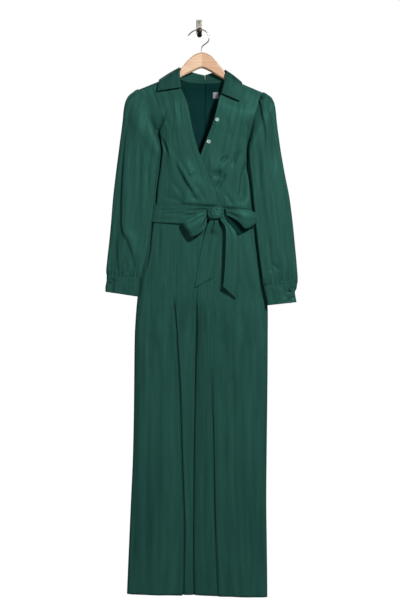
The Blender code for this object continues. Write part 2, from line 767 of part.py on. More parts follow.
def leg_panel(name, side, face):
    """Half of a leg, from the waist seam to the hem, with the leg's deep fold in front."""
    if side == "right":
        shape, table, drop = TUCK_SHAPE, TUCK_R, TUCK_DROP
        fold_top, fold_run = -620.0, 180.0
    else:
        shape, table, drop = STEP_SHAPE, STEP_L, STEP_DROP
        fold_top, fold_run = -880.0, 250.0
    grid = []
    for step in LEG_STEPS:
        row_z = blend(WAIST, LEG_END, step)
        strength = smoothstep((fold_top - row_z) / fold_run)
        fold_x = at(table, row_z)[0]
        fold = (shape, fold_x, drop, strength, face < 0)
        row = []
        for k, (x, _) in enumerate(leg_columns(side, row_z, *fold)):
            z = blend(waist_height(x) - SEAM, hem_height(x), step)
            x, level = leg_columns(side, z, *fold)[k]
            _, y, _ = shell(x, z, 0.0, face)
            y = mid(x) + (y - mid(x)) * (1 - level)
            row.append(seam_side((x, y, z), face))
        grid.append(row)
    middle_seam = [0 if blend(WAIST, LEG_END, step) > CROTCH + 5 else 1 for step in LEG_STEPS]
    locks = {"top": 2, "bottom": 2, "first": 1, "last": middle_seam}
    cloth(name, grid, (0, face, 0), locks=locks)


# ---------------------------------------------------------------- sash and bow


def sash_lift(x):
    """Height of the sash's outer face over the body's."""
    return blend(SASH_LIFT, SASH_LIFT_SIDE, smoothstep((abs(x) - 65.0) / 55.0))


def sash_band(name, start, stop, face, count):
    """A band round the waist, narrower where it is gathered into the knot."""
    grid = []
    for v in (0.0, 0.33, 0.67, 1.0):
        row = []
        for k in range(count + 1):
            u = k / count
            share = (1 - math.cos(math.pi * u)) / 2 if face > 0 else columns_share(u)
            x = blend(start, stop, share)
            narrow = smoothstep(1 - abs(x - KNOT[0]) / 75.0) if face < 0 else 0.0
            half = blend(SASH_HALF, SASH_GATHERED, narrow)
            z = waist_height(x) + SASH_RISE * (1.0 - 0.5 * narrow) + half * (1 - 2 * v)
            wide = at(BODY, z)[0 if x < 0 else 1] / at(BODY, WAIST)[0 if x < 0 else 1]
            point = shell(x * blend(1.0, wide, (abs(x) / 148.0) ** 2), z, sash_lift(x), face)
            row.append(seam_side(point, face))
        grid.append(row)
    locks = {"first": 1, "last": 1} if face > 0 else {"first": 1, "last": 0}
    cloth(name, grid, (0, face, 0), finish=SATIN_TRIM, locks=locks)


def over_sash(x, z, lift):
    """A point that lies over the sash's outer face by lift."""
    return shell(x, z, sash_lift(x) + lift, -1)


def bow_loop(name, table, tip):
    """A strip that runs out from the knot, turns at the tip and runs back behind itself."""
    grid = []
    rows = resample(table, 7)
    tip_x, tip_z = tip
    stations = [(row, row[4] + LOOP_BACK, 0.0) for row in rows]
    last = rows[-1]
    stations.append((last, blend(LOOP_BACK, last[4] + LOOP_BACK, 0.62), 1.0))
    stations.append((last, blend(LOOP_BACK, last[4] + LOOP_BACK, 0.3), 0.9))
    stations += [(row, LOOP_BACK, 0.0) for row in reversed(rows)]
    for row, lift, push in stations:
        upper_x, upper_z, lower_x, lower_z, _ = row
        line = []
        for v in (0.0, 0.2, 0.5, 0.8, 1.0):
            x = blend(upper_x, lower_x, v) + tip_x * push
            z = blend(upper_z, lower_z, v) + tip_z * push
            swell = math.sin(math.pi * v) * (lift - LOOP_BACK) * 0.3
            line.append(over_sash(x, z, lift + swell))
        grid.append(line)
    cloth(name, grid, (tip_x, 0, tip_z), finish=SATIN_TRIM)


def bow_tail(name, table):
    """A free end of the sash, which comes down from the knot and lies on the trousers."""
    grid = []
    for row in resample(table, 11):
        left_x, left_z, right_x, right_z, lift = row
        line = []
        for k in range(6):
            v = k / 5
            x = blend(left_x, right_x, v)
            z = blend(left_z, right_z, v)
            ripple = min(1.2, 0.3 * lift) * math.sin(2 * math.pi * v * 1.2)
            line.append(shell(x, z, lift + CLOTH + ripple, -1))
        grid.append(line)
    cloth(name, grid, (0, -1, 0), finish=SATIN_TRIM)


def knot():
    """The sash's knot: a firm bundle with two furrows across it."""
    bm = bmesh.new()
    bmesh.ops.create_uvsphere(bm, u_segments=18, v_segments=12, radius=1.0)
    wide, deep, high = KNOT_SIZE
    seat = over_sash(KNOT[0], KNOT[1], 0.0)
    centre = (KNOT[0], seat[1] - deep * 0.9 - 0.4, KNOT[1])
    for v in bm.verts:
        x, y, z = v.co
        furrow = 1 - 0.16 * math.exp(-(((z - 0.25 - 0.3 * x) / 0.16) ** 2))
        furrow -= 0.12 * math.exp(-(((z + 0.35 - 0.2 * x) / 0.16) ** 2))
        swell = max(abs(x) ** 3 + abs(y) ** 3 + abs(z) ** 3, 0.01) ** (-1 / 3)
        grow = blend(1.0, swell, 0.7) * (furrow if y < 0.2 else 1.0)
        flat = 1.0 if y < 0 else 0.9
        v.co = place((centre[0] + x * wide * grow, centre[1] + y * deep * grow * flat,
                      centre[2] + z * high * grow))
    add_object("sash_knot", bm, SATIN_TRIM, sharp=60.0)


# ---------------------------------------------------------------- trim


def disc(name, point, normal, radius, thick, finish):
    """A button with rounded rims, its back on the given point."""
    bm = bmesh.new()
    bmesh.ops.create_cone(bm, cap_ends=True, segments=14, radius1=radius, radius2=radius, depth=thick)
    rims = [e for e in bm.edges if abs(e.verts[0].co.z - e.verts[1].co.z) < 1e-6]
    bmesh.ops.bevel(bm, geom=rims, offset=thick * 0.38, segments=2, profile=0.5, affect="EDGES",
                    material=-1)
    turn = Vector(normal).to_track_quat("Z", "Y").to_matrix().to_4x4()
    centre = Vector(point) + Vector(normal).normalized() * thick / 2
    for v in bm.verts:
        v.co = place(turn @ v.co + centre)
    return add_object(name, bm, finish)


def front_button(name, x, z):
    """A button on the under front, its back on the cloth."""
    seat = shell(x, z, 0.0, -1)
    disc(name, (x, seat[1] - 0.6, z), (0.0, -1.0, 0.0), 5.4, 2.6, PEARL)


def cuff_button(name, table, row, share):
    """A button on a cuff, a share of the way round from the outer side to the front."""
    low, high = share - 0.01, share + 0.01
    rows = resample(table, 4)
    here = Vector(sleeve_point(rows[row], share))
    across = Vector(sleeve_point(rows[row], high)) - Vector(sleeve_point(rows[row], low))
    down = Vector(sleeve_point(rows[row + 1], share)) - here
    normal = across.cross(down)
    if normal.y > 0:
        normal = -normal
    normal.normalize()
    disc(name, here + normal * 0.9, normal, 4.2, 2.2, SATIN_TRIM)


def label():
    """A bare label inside the back of the neck."""
    grid = []
    for v in range(4):
        z = blend(-189.0, -206.0, v / 3)
        grid.append([shell(blend(31.0, 47.0, u / 3), z, -CLOTH - 0.6, 1) for u in range(4)])
    cloth("label", grid, (0, 1, 0), thickness=0.9, finish=LABEL_CLOTH)


def hook_and_eye():
    """A small metal hook at the top of the centre back, inside the collar's stand."""
    bm = bmesh.new()
    bmesh.ops.create_cube(bm, size=1.0)
    y = shell(CENTRE_BACK, -165.5, 0.0, 1)[1] - 2.6
    for v in bm.verts:
        v.co = place((CENTRE_BACK + v.co.x * 2.4, y + v.co.y * 1.2, -149.0 + v.co.z * 13.0))
    made = add_object("hook_and_eye", bm, STEEL)
    made.data.shade_flat()
    bevel = made.modifiers.new("rounding", "BEVEL")
    bevel.width = 0.35 * MM
    bevel.segments = 2


# ---------------------------------------------------------------- what holds it


def hanger():
    """Rings across the arms: a board with a fully rounded top and underside."""
    bm = bmesh.new()
    turns = 5
    rings = []
    for x, top, bottom in HANGER:
        ring = []
        radius = min(HANGER_HALF, (top - bottom) / 2 - 0.2)
        for k in range(turns + 1):
            a = math.pi * k / turns
            ring.append((x, mid(x) - radius * math.cos(a), top - radius + radius * math.sin(a)))
        for k in range(turns + 1):
            a = math.pi * k / turns
            ring.append((x, mid(x) + radius * math.cos(a), bottom + radius - radius * math.sin(a)))
        rings.append([bm.verts.new(place(point)) for point in ring])
    count = len(rings[0])
    for one, two in zip(rings, rings[1:]):
        for k in range(count):
            n = (k + 1) % count
            bm.faces.new((one[k], one[n], two[n], two[k]))
    bm.faces.new(rings[0])
    bm.faces.new(reversed(rings[-1]))
    bmesh.ops.recalc_face_normals(bm, faces=bm.faces)
    add_object("hanger", bm, WOOD)


def hanger_hook():
    """The bent steel wire that grows from the hanger's apex."""
    curve = bpy.data.curves.new("hanger_hook", "CURVE")
    curve.dimensions = "3D"
    curve.bevel_depth = WIRE_RADIUS * MM
    curve.bevel_resolution = 2
    curve.use_fill_caps = True
    points = [place((x, MID_Y, z)) for x, z in resample(WIRE_PATH, 30)]
    spline = curve.splines.new("POLY")
    spline.points.add(len(points) - 1)
    for slot, point in zip(spline.points, points):
        slot.co = (*point, 1.0)
    curve.materials.append(material(STEEL))
    bpy.context.scene.collection.objects.link(bpy.data.objects.new("hanger_hook", curve))


def wall_hook():
    """A flat plate and a round peg that ends in a ball, joined in one piece."""
    wide, thick, high = PLATE
    bm = bmesh.new()
    bmesh.ops.create_cube(bm, size=1.0)
    for v in bm.verts:
        v.co = Vector((v.co.x * wide, v.co.y * thick - thick / 2, v.co.z * high)) * MM
    front = [e for e in bm.edges if all(v.co.y < -thick * MM / 2 for v in e.verts)]
    bmesh.ops.bevel(bm, geom=front, offset=0.8 * MM, segments=2, profile=0.5, affect="EDGES",
                    material=-1)
    foot = PEG_RADIUS + PEG_FLARE
    rings = [(-thick / 2, foot), (-thick, foot), (-thick - PEG_FLARE, PEG_RADIUS)]
    start = math.asin(PEG_RADIUS / BALL_RADIUS)
    middle = -PEG_REACH - BALL_RADIUS * math.cos(start)
    for k in range(9):
        a = blend(start, math.pi, k / 8)
        rings.append((middle + BALL_RADIUS * math.cos(a), BALL_RADIUS * math.sin(a)))
    plate = add_object("wall_hook", bm, BRONZE)
    peg = turned("peg_guide", rings, (PEG_X, PEG_Z), BRONZE)
    peg.hide_render = True
    peg.display_type = "WIRE"
    join = plate.modifiers.new("peg", "BOOLEAN")
    join.operation = "UNION"
    join.solver = "EXACT"
    join.object = peg


def turned(name, rings, centre, finish):
    """A closed round piece along Y through rings of place and radius."""
    bm = bmesh.new()
    sides = 16
    loops = []
    for y, radius in rings[:-1]:
        loop = []
        for k in range(sides):
            a = 2 * math.pi * k / sides
            loop.append(bm.verts.new(Vector((
                centre[0] + radius * math.cos(a), y, centre[1] + radius * math.sin(a)
            )) * MM))
        loops.append(loop)
    for one, two in zip(loops, loops[1:]):
        for k in range(sides):
            n = (k + 1) % sides
            bm.faces.new((one[k], one[n], two[n], two[k]))
    tip = bm.verts.new(Vector((centre[0], rings[-1][0], centre[1])) * MM)
    for k in range(sides):
        bm.faces.new((loops[-1][k], loops[-1][(k + 1) % sides], tip))
    bm.faces.new(loops[0])
    bmesh.ops.recalc_face_normals(bm, faces=bm.faces)
    return add_object(name, bm, finish)


def main():
    """Clear the scene, then make every piece."""
    for old in list(bpy.data.objects):
        bpy.data.objects.remove(old, do_unlink=True)
    front_panel("front_over", "right", EDGE_OVER, wrap_lift)
    front_panel("front_under", "left", EDGE_UNDER, lambda x, z: 0.0)
    back_panel("back_right", "right")
    back_panel("back_left", "left")
    collar("collar_right", COLLAR_R, -1)
    collar("collar_left", COLLAR_L, 1)
    sleeve("sleeve_right", "right", SLEEVE_R)
    sleeve("sleeve_left", "left", SLEEVE_L)
    cuff("cuff_right", CUFF_R)
    cuff("cuff_left", CUFF_L)
    for side in ("right", "left"):
        leg_panel(f"trouser_front_{side}", side, -1)
        leg_panel(f"trouser_back_{side}", side, 1)
    waist_right = at(BODY, WAIST)[0]
    waist_left = at(BODY, WAIST)[1]
    sash_band("sash_front_right", -waist_right, KNOT[0] - 1.0, -1, 9)
    sash_band("sash_front_left", waist_left, KNOT[0] + 1.0, -1, 8)
    sash_band("sash_back", -waist_right, waist_left, 1, 18)
    knot()
    bow_loop("sash_loop_right", LOOP_R, (-5.0, -3.0))
    bow_loop("sash_loop_left", LOOP_L, (4.0, -1.0))
    bow_tail("sash_tail_right", TAIL_R)
    bow_tail("sash_tail_left", TAIL_L)
    front_button("button_upper", 42.0, -272.0)
    front_button("button_lower", 18.5, -333.0)
    cuff_button("cuff_button_right", CUFF_R, 1, 0.12)
    cuff_button("cuff_button_left", CUFF_L, 1, 0.14)
    label()
    hook_and_eye()
    hanger()
    hanger_hook()
    wall_hook()


main()
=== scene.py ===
# %% [markdown]
# # A satin jumpsuit on its hanger
#
# This lesson dresses a hanging jumpsuit. The rigid model gives the true size and place of every
# piece; here each piece is made again as thin satin with its folds, and the wood and metal that
# hold it get their finishes. Sizes are in millimetres until `place` turns them into metres.

# %% The frame
import math

import bmesh
import bpy
from mathutils import Matrix, Vector, noise


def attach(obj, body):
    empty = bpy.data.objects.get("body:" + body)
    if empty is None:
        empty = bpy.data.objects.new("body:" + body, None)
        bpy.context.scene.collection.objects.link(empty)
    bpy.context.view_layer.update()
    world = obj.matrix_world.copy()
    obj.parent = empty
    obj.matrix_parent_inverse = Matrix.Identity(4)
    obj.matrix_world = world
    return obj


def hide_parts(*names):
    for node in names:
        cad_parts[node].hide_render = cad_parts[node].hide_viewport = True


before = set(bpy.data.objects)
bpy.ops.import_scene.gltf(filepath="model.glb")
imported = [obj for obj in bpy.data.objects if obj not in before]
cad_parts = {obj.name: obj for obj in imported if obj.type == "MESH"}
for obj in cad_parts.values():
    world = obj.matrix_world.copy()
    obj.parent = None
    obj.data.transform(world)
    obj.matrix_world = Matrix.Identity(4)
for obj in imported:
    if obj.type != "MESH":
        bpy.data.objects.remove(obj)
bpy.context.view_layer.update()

# %% [markdown]
# ## The camera
#
# A garment this long is taken from about four metres away, straight on, so that neither the
# shoulders nor the hem look larger than they are. The lens is worked out from the height that has
# to fit the frame.

# %% The camera
VIEW_HEIGHT = 1.7192
VIEW_CENTRE = (0.0024, -0.045, -0.7924)
VIEW_DISTANCE = 4.0
SENSOR = 36.0

lens = bpy.data.cameras.new("camera")
lens.sensor_fit = "VERTICAL"
lens.sensor_height = SENSOR
lens.lens = SENSOR * VIEW_DISTANCE / VIEW_HEIGHT
camera = bpy.data.objects.new("camera", lens)
camera.location = (VIEW_CENTRE[0], VIEW_CENTRE[1] - VIEW_DISTANCE, VIEW_CENTRE[2])
camera.rotation_euler = (math.pi / 2, 0.0, 0.0)
bpy.context.scene.collection.objects.link(camera)
bpy.context.scene.camera = camera
bpy.context.scene.view_settings.view_transform = "Standard"
print("focal length:", round(lens.lens, 1), "mm")

# %% [markdown]
# ## Reading tables smoothly
#
# A garment's outline is a few measurements that a tailor joins with a smooth curve. The same
# helper does that here: it reads a table whose first column falls, and joins the rows with a
# Hermite curve, so that the cloth has no corner at a measured row.

# %% Curves through tables


def smoothstep(t):
    t = min(max(t, 0.0), 1.0)
    return t * t * (3.0 - 2.0 * t)


def within(t, steep):
    """1 in the middle of a share, falling to 0 at both its ends."""
    return smoothstep(t * steep) * smoothstep((1.0 - t) * steep)


def turned(share):
    """Cosine and sine of a share of a full turn."""
    return math.cos(share * 2 * math.pi), math.sin(share * 2 * math.pi)


def blend(a, b, t):
    return a + (b - a) * t


def blend_points(a, b, t):
    return tuple(blend(p, q, t) for p, q in zip(a, b))


def curve(a, b, slope_a, slope_b, t):
    h = t * t * (3 - 2 * t)
    return a * (1 - h) + b * h + slope_a * t * (1 - t) ** 2 - slope_b * t * t * (1 - t)


def at(table, key):
    """The values of a table at a key, on a smooth curve through its rows."""
    last = len(table) - 2
    low = next((k for k in range(last + 1) if table[k + 1][0] <= key), last)
    a, b = table[low], table[low + 1]
    before = table[low - 1] if low > 0 else a
    after = table[low + 2] if low < last else b
    span = b[0] - a[0]
    t = min(max((key - a[0]) / span, 0.0), 1.0)
    return [curve(q, r, (r - p) / (b[0] - before[0]) * span,
                  (s - q) / (after[0] - a[0]) * span, t)
            for p, q, r, s in zip(before[1:], a[1:], b[1:], after[1:])]


def resample(rows, count):
    table = [(-k, *row) for k, row in enumerate(rows)]
    return [at(table, -k * (len(rows) - 1) / (count - 1)) for k in range(count)]


squares = resample([(0,), (1,), (4,), (9,)], 7)
print("a curve through 0, 1, 4, 9:", [round(v[0], 2) for v in squares])

# %% [markdown]
# ## The body's form
#
# Hung up, a jumpsuit is a flattened oval from the shoulders to the hips and two of them in the
# legs. The table gives its half widths and depths at each height. Over the hanger the cloth turns
# round the wood's rounded edge before it falls.

# %% The body's form
MM = 0.001
CLOTH = 1.2
OFFSET_X = 8.0
MID_Y = -45.0
BOW = 5.0
BOW_SPAN = 190.0
ROLL = 7.8
ROLL_OUT = 90.0
FULLNESS = 2.6
WAIST = -540.0
WAIST_TILT = 0.058
CROTCH = -860.0
CROTCH_RISE = 95.0
CENTRE_BACK = 8.0
FOLDS_BEHIND = 0.7       # how much of the broad folds shows behind
LEG_END = -1598.0
HEM = -1593.0
HEM_CORNER = -210.0
HEM_TILT = 0.024
# keyed by side, -1 the wearer's right and 1 the left
SIDES = {"right": -1, "left": 1}
NECK = {-1: (-75, -142), 1: (78, -153)}
SHOULDER = {-1: (-176, -184), 1: (168, -192)}
UNDERARM = {-1: (-126, -308), 1: (136, -325)}

# height, half width to the right, to the left, depth in front, depth behind
BODY = (
    (-100, 215, 208, 26, 21), (-183, 205, 200, 28, 22), (-240, 176, 178, 31, 21),
    (-283, 143, 150, 32, 20), (-308, 126, 141, 31, 19), (-325, 126, 136, 31, 19),
    (-360, 127.5, 137, 30, 18), (-450, 136, 143, 28, 18), (-500, 143, 147, 27, 18),
    (-540, 148, 150, 27, 18), (-600, 158, 158, 28, 20), (-690, 171, 172, 28, 22),
    (-780, 182, 183, 27, 22), (-870, 188, 184, 25, 20), (-1030, 190, 183, 23, 18),
    (-1200, 193, 181, 22, 17), (-1340, 199, 180, 22, 17), (-1500, 206, 182, 22, 17),
    (-1620, 211, 183, 22, 17),
)
# height, place of the seam between the legs
INSEAM = (
    (-500, -6), (-700, -11), (-860, -15), (-990, -19), (-1190, -22), (-1410, -24), (-1620, -23),
)


def place(point):
    return Vector(((point[0] + OFFSET_X) * MM, point[1] * MM, point[2] * MM))


def mid(x):
    """The plane where front and back meet; it bows forward at the hanger's ends."""
    return MID_Y - BOW * (x / BOW_SPAN) ** 2


def shoulder_height(x):
    line = {}
    for side, (neck_x, neck_z) in NECK.items():
        end_x, end_z = SHOULDER[side]
        line[side] = neck_z + (x - neck_x) * ((neck_z - end_z) / (neck_x - end_x))
    return blend(line[-1], line[1], smoothstep((x - NECK[-1][0]) / (NECK[1][0] - NECK[-1][0])))


def oval(u):
    return (1.0 - min(abs(u), 1.0) ** FULLNESS) ** (1.0 / FULLNESS)


def body_half(x, z):
    return at(BODY, z)[0 if x < 0 else 1]


def waist_height(x):
    return WAIST - WAIST_TILT * x


def hem_height(x):
    return HEM - HEM_TILT * (x - HEM_CORNER)


def depth(x, z, face):
    """How far the cloth lies from the middle plane, and the share of the body's oval there."""
    right, left, front, back = at(BODY, z)
    deep = front if face < 0 else back
    hip = oval(x / (right if x < 0 else left))
    fold = broad_folds(x, z) * (1.0 if face < 0 else FOLDS_BEHIND) * hip
    inner = at(INSEAM, z)[0]
    outer = -right if x < inner else left
    leg = oval((x - (inner + outer) / 2) / ((outer - inner) / 2))
    parted = smoothstep((CROTCH + CROTCH_RISE - z) / CROTCH_RISE)
    share = blend(hip, leg, parted)
    return (deep - fold) * share, hip


def shell(x, z, lift, face):
    """A point of the body's outer face, moved out by lift; face is -1 in front, 1 behind."""
    out, share = depth(x, z, face)
    top = shoulder_height(x)
    fall = top - z
    if fall < ROLL:
        turn = math.acos(min(max(1.0 - fall / ROLL, -1.0), 1.0))
        radius = ROLL + lift
        return (x, mid(x) + face * radius * math.sin(turn), top - ROLL + radius * math.cos(turn))
    filled = smoothstep((fall - ROLL) / ROLL_OUT)
    y = blend(ROLL + lift, out + lift * share, filled)
    sideways = lift * x / body_half(x, z) * filled
    return (x + sideways, mid(x) + face * y, z)


print("half widths at the waist:", [round(v, 1) for v in at(BODY, WAIST)[:2]], "mm")

# %% [markdown]
# ## Folds
#
# Satin is bought for the way it shows its folds, so they are placed one by one. Each row of a
# table is one fold: where it starts and ends, how deep and how wide it is, and how far it leans to
# one side, which gives it a soft ridge beside the trough. The broadest folds belong to the form
# itself; the finer ones are pressed into the sheet afterwards, along its own normals.

# %% Folds as tables
# from x, z to x, z, depth, width
BROAD_BODICE = (
    (-70, -375, -20, -484, 2.6, 9), (-101, -330, -87, -378, -1.6, 9),
    (-74, -200, -70, -300, -1.4, 8), (-100, -255, -124, -305, 2.4, 10),
    (128, -380, 104, -506, 2.6, 13), (72, -372, 50, -390, 1.6, 8), (102, -355, 82, -400, 1.8, 9),
)
# x at the waist, x at the hem, depth, width, height where it fades in
BROAD_LEG = (
    (-120, -172, 2.4, 14, -640), (-95, -120, -2, 18, -600), (-92, -88, 1.8, 12, -740),
    (62, 84, 2, 12, -700), (88, 122, -2.2, 20, -620), (112, 150, 2.4, 14, -660),
)
BROAD_FADE = 200.0


def broad_folds(x, z):
    if z > WAIST + 20:
        return sum(deep * math.exp(-((beside(x, z, *line)[1] / width) ** 2))
                   for *line, deep, width in BROAD_BODICE)
    total = 0.0
    for top, low, deep, width, fade in BROAD_LEG:
        middle = blend(top, low, (WAIST - z) / (WAIST - LEG_END))
        ridge = deep * math.exp(-(((x - middle) / width) ** 2))
        total += ridge * smoothstep((fade - z) / BROAD_FADE)
    return total


def beside(x, z, x0, z0, x1, z1):
    """Share of the way along a line, and the signed distance from it."""
    dx, dz = x1 - x0, z1 - z0
    length = math.hypot(dx, dz)
    along = ((x - x0) * dx + (z - z0) * dz) / length ** 2
    near = min(max(along, 0.0), 1.0)
    away = math.hypot(x - blend(x0, x1, near), z - blend(z0, z1, near))
    side = (x - x0) * dz - (z - z0) * dx
    return near, math.copysign(away, side)


def nearest(x, z, path):
    """Share of the way along a path of x, z, and the signed distance from it."""
    best, total = None, 0.0
    for x0, z0, x1, z1 in zip(path[::2], path[1::2], path[2::2], path[3::2]):
        along, away = beside(x, z, x0, z0, x1, z1)
        length = math.hypot(x1 - x0, z1 - z0)
        if best is None or abs(away) < abs(best[1]):
            best = (total + along * length, away)
        total += length
    return best[0] / total, best[1]


def pressed(x, z, folds):
    """Height that a table of folds adds at a place: troughs are below 0, ridges above.

    A leaning fold is steep on one side and rises slowly on the other, as a pleat does.
    """
    total = 0.0
    for *path, deep, width, lean, fade_in, fade_out in folds:
        slow = 1.0 + 2.0 * abs(lean)
        reach = 3 * width * slow
        if min(path[::2]) - reach < x < max(path[::2]) + reach:
            along, away = nearest(x, z, path)
            q = away / width / (slow if away * lean > 0 else 1.0)
            if abs(q) < 3:
                fade = smoothstep(along / fade_in) * smoothstep((1.0 - along) / fade_out)
                total -= deep * math.exp(-q * q) * fade
    return total


def slack(x, z, size, stretch, seed, strength):
    """The cloth's own unevenness: slow waves that are longer down the cloth than across."""
    point = Vector((x / size, z / (size * stretch), seed))
    return strength * (noise.noise(point) + 0.4 * noise.noise(point * 2.3))


def ribs(x, z, seed, strength=0.45):
    """Fine upright ripples, a few millimetres wide and a hand long, as hung satin has."""
    return strength * (noise.noise(Vector((x / 6.5, z / 95.0, seed)))
                       + 0.7 * noise.noise(Vector((x / 11.0, z / 160.0, seed + 9.0))))


print("broad folds:", len(BROAD_BODICE), "in the bodice,", len(BROAD_LEG), "down the legs")

# %% [markdown]
# ## From a few rows to a sheet
#
# Every cloth piece is made in one way. Its rows of points, a dozen or two, fix the shape; a fine
# grid from bmesh is laid through them on smooth curves, so its UV map follows the threads; the
# folds are pressed in along the normals; and Solidify gives the cloth its two sides, the wrong side
# with a finish of its own. A simulation was the other way, but a hanging wrap bodice is held by so
# many seams that it would only blur the folds that are wanted.

# %% From rows to a sheet
CLOTH_WALL = 0.7


def four_near(count, share, closed):
    """Numbers of the four points round a share of a row, and where it lies among them."""
    across = (share % 1.0) * count if closed else share * (count - 1)
    if closed:
        c = int(across)
        return [(c + k) % count for k in (-1, 0, 1, 2)], across - c, False, False
    c = min(int(across), count - 2)
    near = [min(max(c + k, 0), count - 1) for k in (-1, 0, 1, 2)]
    return near, across - c, c == 0, c == count - 2


def hermite(four, t, first, last):
    return tuple(curve(q, r, r - q if first else (r - p) / 2, r - q if last else (s - q) / 2, t)
                 for p, q, r, s in zip(*four))


def smooth_at(rows, u, w, closed):
    """The point a share u across and w down a grid of rows, on smooth curves through them."""
    columns, *across = four_near(len(rows[0]), u, closed)
    near, *down = four_near(len(rows), w, False)
    return hermite([hermite([rows[r][c] for c in columns], *across) for r in near], *down)


def path_length(points):
    return sum((b - a).length for a, b in zip(points, points[1:]))


def middle_of(row):
    return sum((place(p) for p in row), Vector()) / len(row)


def lay_grid(bm, rows, across, down, closed):
    """A fine grid through rows of points; gives each vertex's shares across and down."""
    bmesh.ops.create_grid(bm, x_segments=across, y_segments=down, size=0.5)
    shares = {v: (v.co.x + 0.5, 0.5 - v.co.y) for v in bm.verts}
    for v, (u, w) in shares.items():
        v.co = place(smooth_at(rows, u, w, closed))
    return shares


def make_mesh(name, bm, finish):
    mesh = bpy.data.meshes.new(name)
    bm.to_mesh(mesh)
    bm.free()
    mesh.shade_smooth()
    for material in finish[1:]:
        mesh.materials.append(material)
    made = bpy.data.objects.new("dressed_" + name, mesh)
    bpy.context.scene.collection.objects.link(made)
    return made


def fasten(name, bm, finish, *nodes):
    """Make a piece in a finish, which is a slot and its materials, to stand for nodes."""
    made = make_mesh(name, bm, finish)
    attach(made, "root")
    for node in nodes:
        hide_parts(node)
    return made


def sew(name, rows, across, down, finish, out, closed=False, wall=CLOTH_WALL, folds=None):
    """A cloth piece through rows of points. folds(u, w, x, y, z) is the height pressed in."""
    bm = bmesh.new()
    uv = bm.loops.layers.uv.new("threads")
    shares = lay_grid(bm, rows, across, down, closed)
    lines = [[place(p) for p in row] for row in rows]
    widest = max(path_length(line + line[:1] if closed else line) for line in lines)
    longest = max(path_length(line) for line in zip(*lines))
    for face in bm.faces:
        for loop in face.loops:
            u, w = shares[loop.vert]
            loop[uv].uv = (u * widest, -w * longest)
    bm.normal_update()
    if sum(f.normal.dot(out(f.calc_center_median())) * f.calc_area() for f in bm.faces) < 0:
        bmesh.ops.reverse_faces(bm, faces=bm.faces)
        bm.normal_update()
    if folds:
        moved = {}
        for v, share in shares.items():
            x, y, z = v.co / MM
            moved[v] = v.co + v.normal * folds(*share, x - OFFSET_X, y, z) * MM
        for v, co in moved.items():
            v.co = co
    if closed:
        bmesh.ops.remove_doubles(bm, verts=bm.verts, dist=1e-6)
    area = sum(f.calc_area() for f in bm.faces)
    piece = fasten(name, bm, finish, name)
    two_sides = piece.modifiers.new("two sides", "SOLIDIFY")
    two_sides.thickness = wall * MM
    two_sides.offset = -1.0
    two_sides.material_offset = 1
    print(f"{name}: {widest * 1000:.0f} x {longest * 1000:.0f} mm, {area:.4f} m2,",
          len(piece.data.polygons), "faces")


def towards(x, y, z):
    return lambda centre: Vector((x, y, z))

# %% [markdown]
# ## Satin
#
# Satin floats its threads over several others, so its face is smooth and its gloss runs along the
# threads, while the wrong side is duller. A Principled shader does this with a fairly low
# roughness, some anisotropy and a specular tint of the dyed thread. The pattern follows the UV
# map, which is in metres along and across the threads: slow streaks vary the colour, and a fine
# twill line is bumped, far too small to see from a step away but right in a close view. The wrong
# side is also made far darker than the face, which is painted shade for the garment's inside and
# for the insides of the bow's loops.

# %% Material tools


def add_node(tree, kind, **values):
    node = tree.nodes.new(kind)
    for key, value in values.items():
        if key in node.inputs:
            node.inputs[key].default_value = value
        else:
            setattr(node, key, value)
    return node


def scaled_coords(tree, source, scale, turn=(0.0, 0.0, 0.0)):
    coords = tree.nodes.new("ShaderNodeTexCoord")
    mapping = add_node(tree, "ShaderNodeMapping", Scale=scale, Rotation=turn)
    tree.links.new(coords.outputs[source], mapping.inputs["Vector"])
    return mapping.outputs["Vector"]


def noise_of(tree, source, scale, detail, rough=0.5, turn=(0.0, 0.0, 0.0)):
    node = add_node(tree, "ShaderNodeTexNoise", Scale=1.0, Detail=detail, Roughness=rough)
    tree.links.new(scaled_coords(tree, source, scale, turn), node.inputs["Vector"])
    return node.outputs["Fac"]


def ramp_of(tree, fac, stops):
    node = tree.nodes.new("ShaderNodeValToRGB")
    band = node.color_ramp
    while len(band.elements) < len(stops):
        band.elements.new(0.5)
    for element, (position, colour) in zip(band.elements, stops):
        element.position = position
        element.color = (*colour, 1.0)
    tree.links.new(fac, node.inputs["Fac"])
    return node.outputs["Color"]


def range_of(tree, value, low, high):
    node = add_node(tree, "ShaderNodeMapRange", **{"To Min": low, "To Max": high})
    tree.links.new(value, node.inputs["Value"])
    return node.outputs["Result"]


def bump_of(tree, height, strength, distance, before=None):
    node = add_node(tree, "ShaderNodeBump", Strength=strength, Distance=distance)
    tree.links.new(height, node.inputs["Height"])
    if before:
        tree.links.new(before, node.inputs["Normal"])
    return node.outputs["Normal"]


def twill_of(tree, scale, distortion):
    """Fine lines in the weave, about three times as many to the metre as the scale."""
    twill = add_node(tree, "ShaderNodeTexWave", Scale=scale, Distortion=distortion, Detail=1.0)
    tree.links.new(scaled_coords(tree, "UV", (1.0, 1.0, 1.0)), twill.inputs["Vector"])
    return twill


def toned(name, tones, scale, detail, rough=0.5, source="Object", turn=(0.0, 0.0, 0.0),
          rough_range=None, bump=None, **sockets):
    """A material whose noise drifts through tones, and through a range of roughness."""
    made = bpy.data.materials.new(name)
    made.use_nodes = True
    tree = made.node_tree
    shader = tree.nodes["Principled BSDF"]
    drift = noise_of(tree, source, scale, detail, rough, turn)
    tree.links.new(ramp_of(tree, drift, tones), shader.inputs["Base Color"])
    if rough_range:
        tree.links.new(range_of(tree, drift, *rough_range), shader.inputs["Roughness"])
    if bump:
        tree.links.new(bump_of(tree, drift, *bump), shader.inputs["Normal"])
    for socket, value in sockets.items():
        shader.inputs[socket.replace("_", " ")].default_value = value
    return made, tree, shader


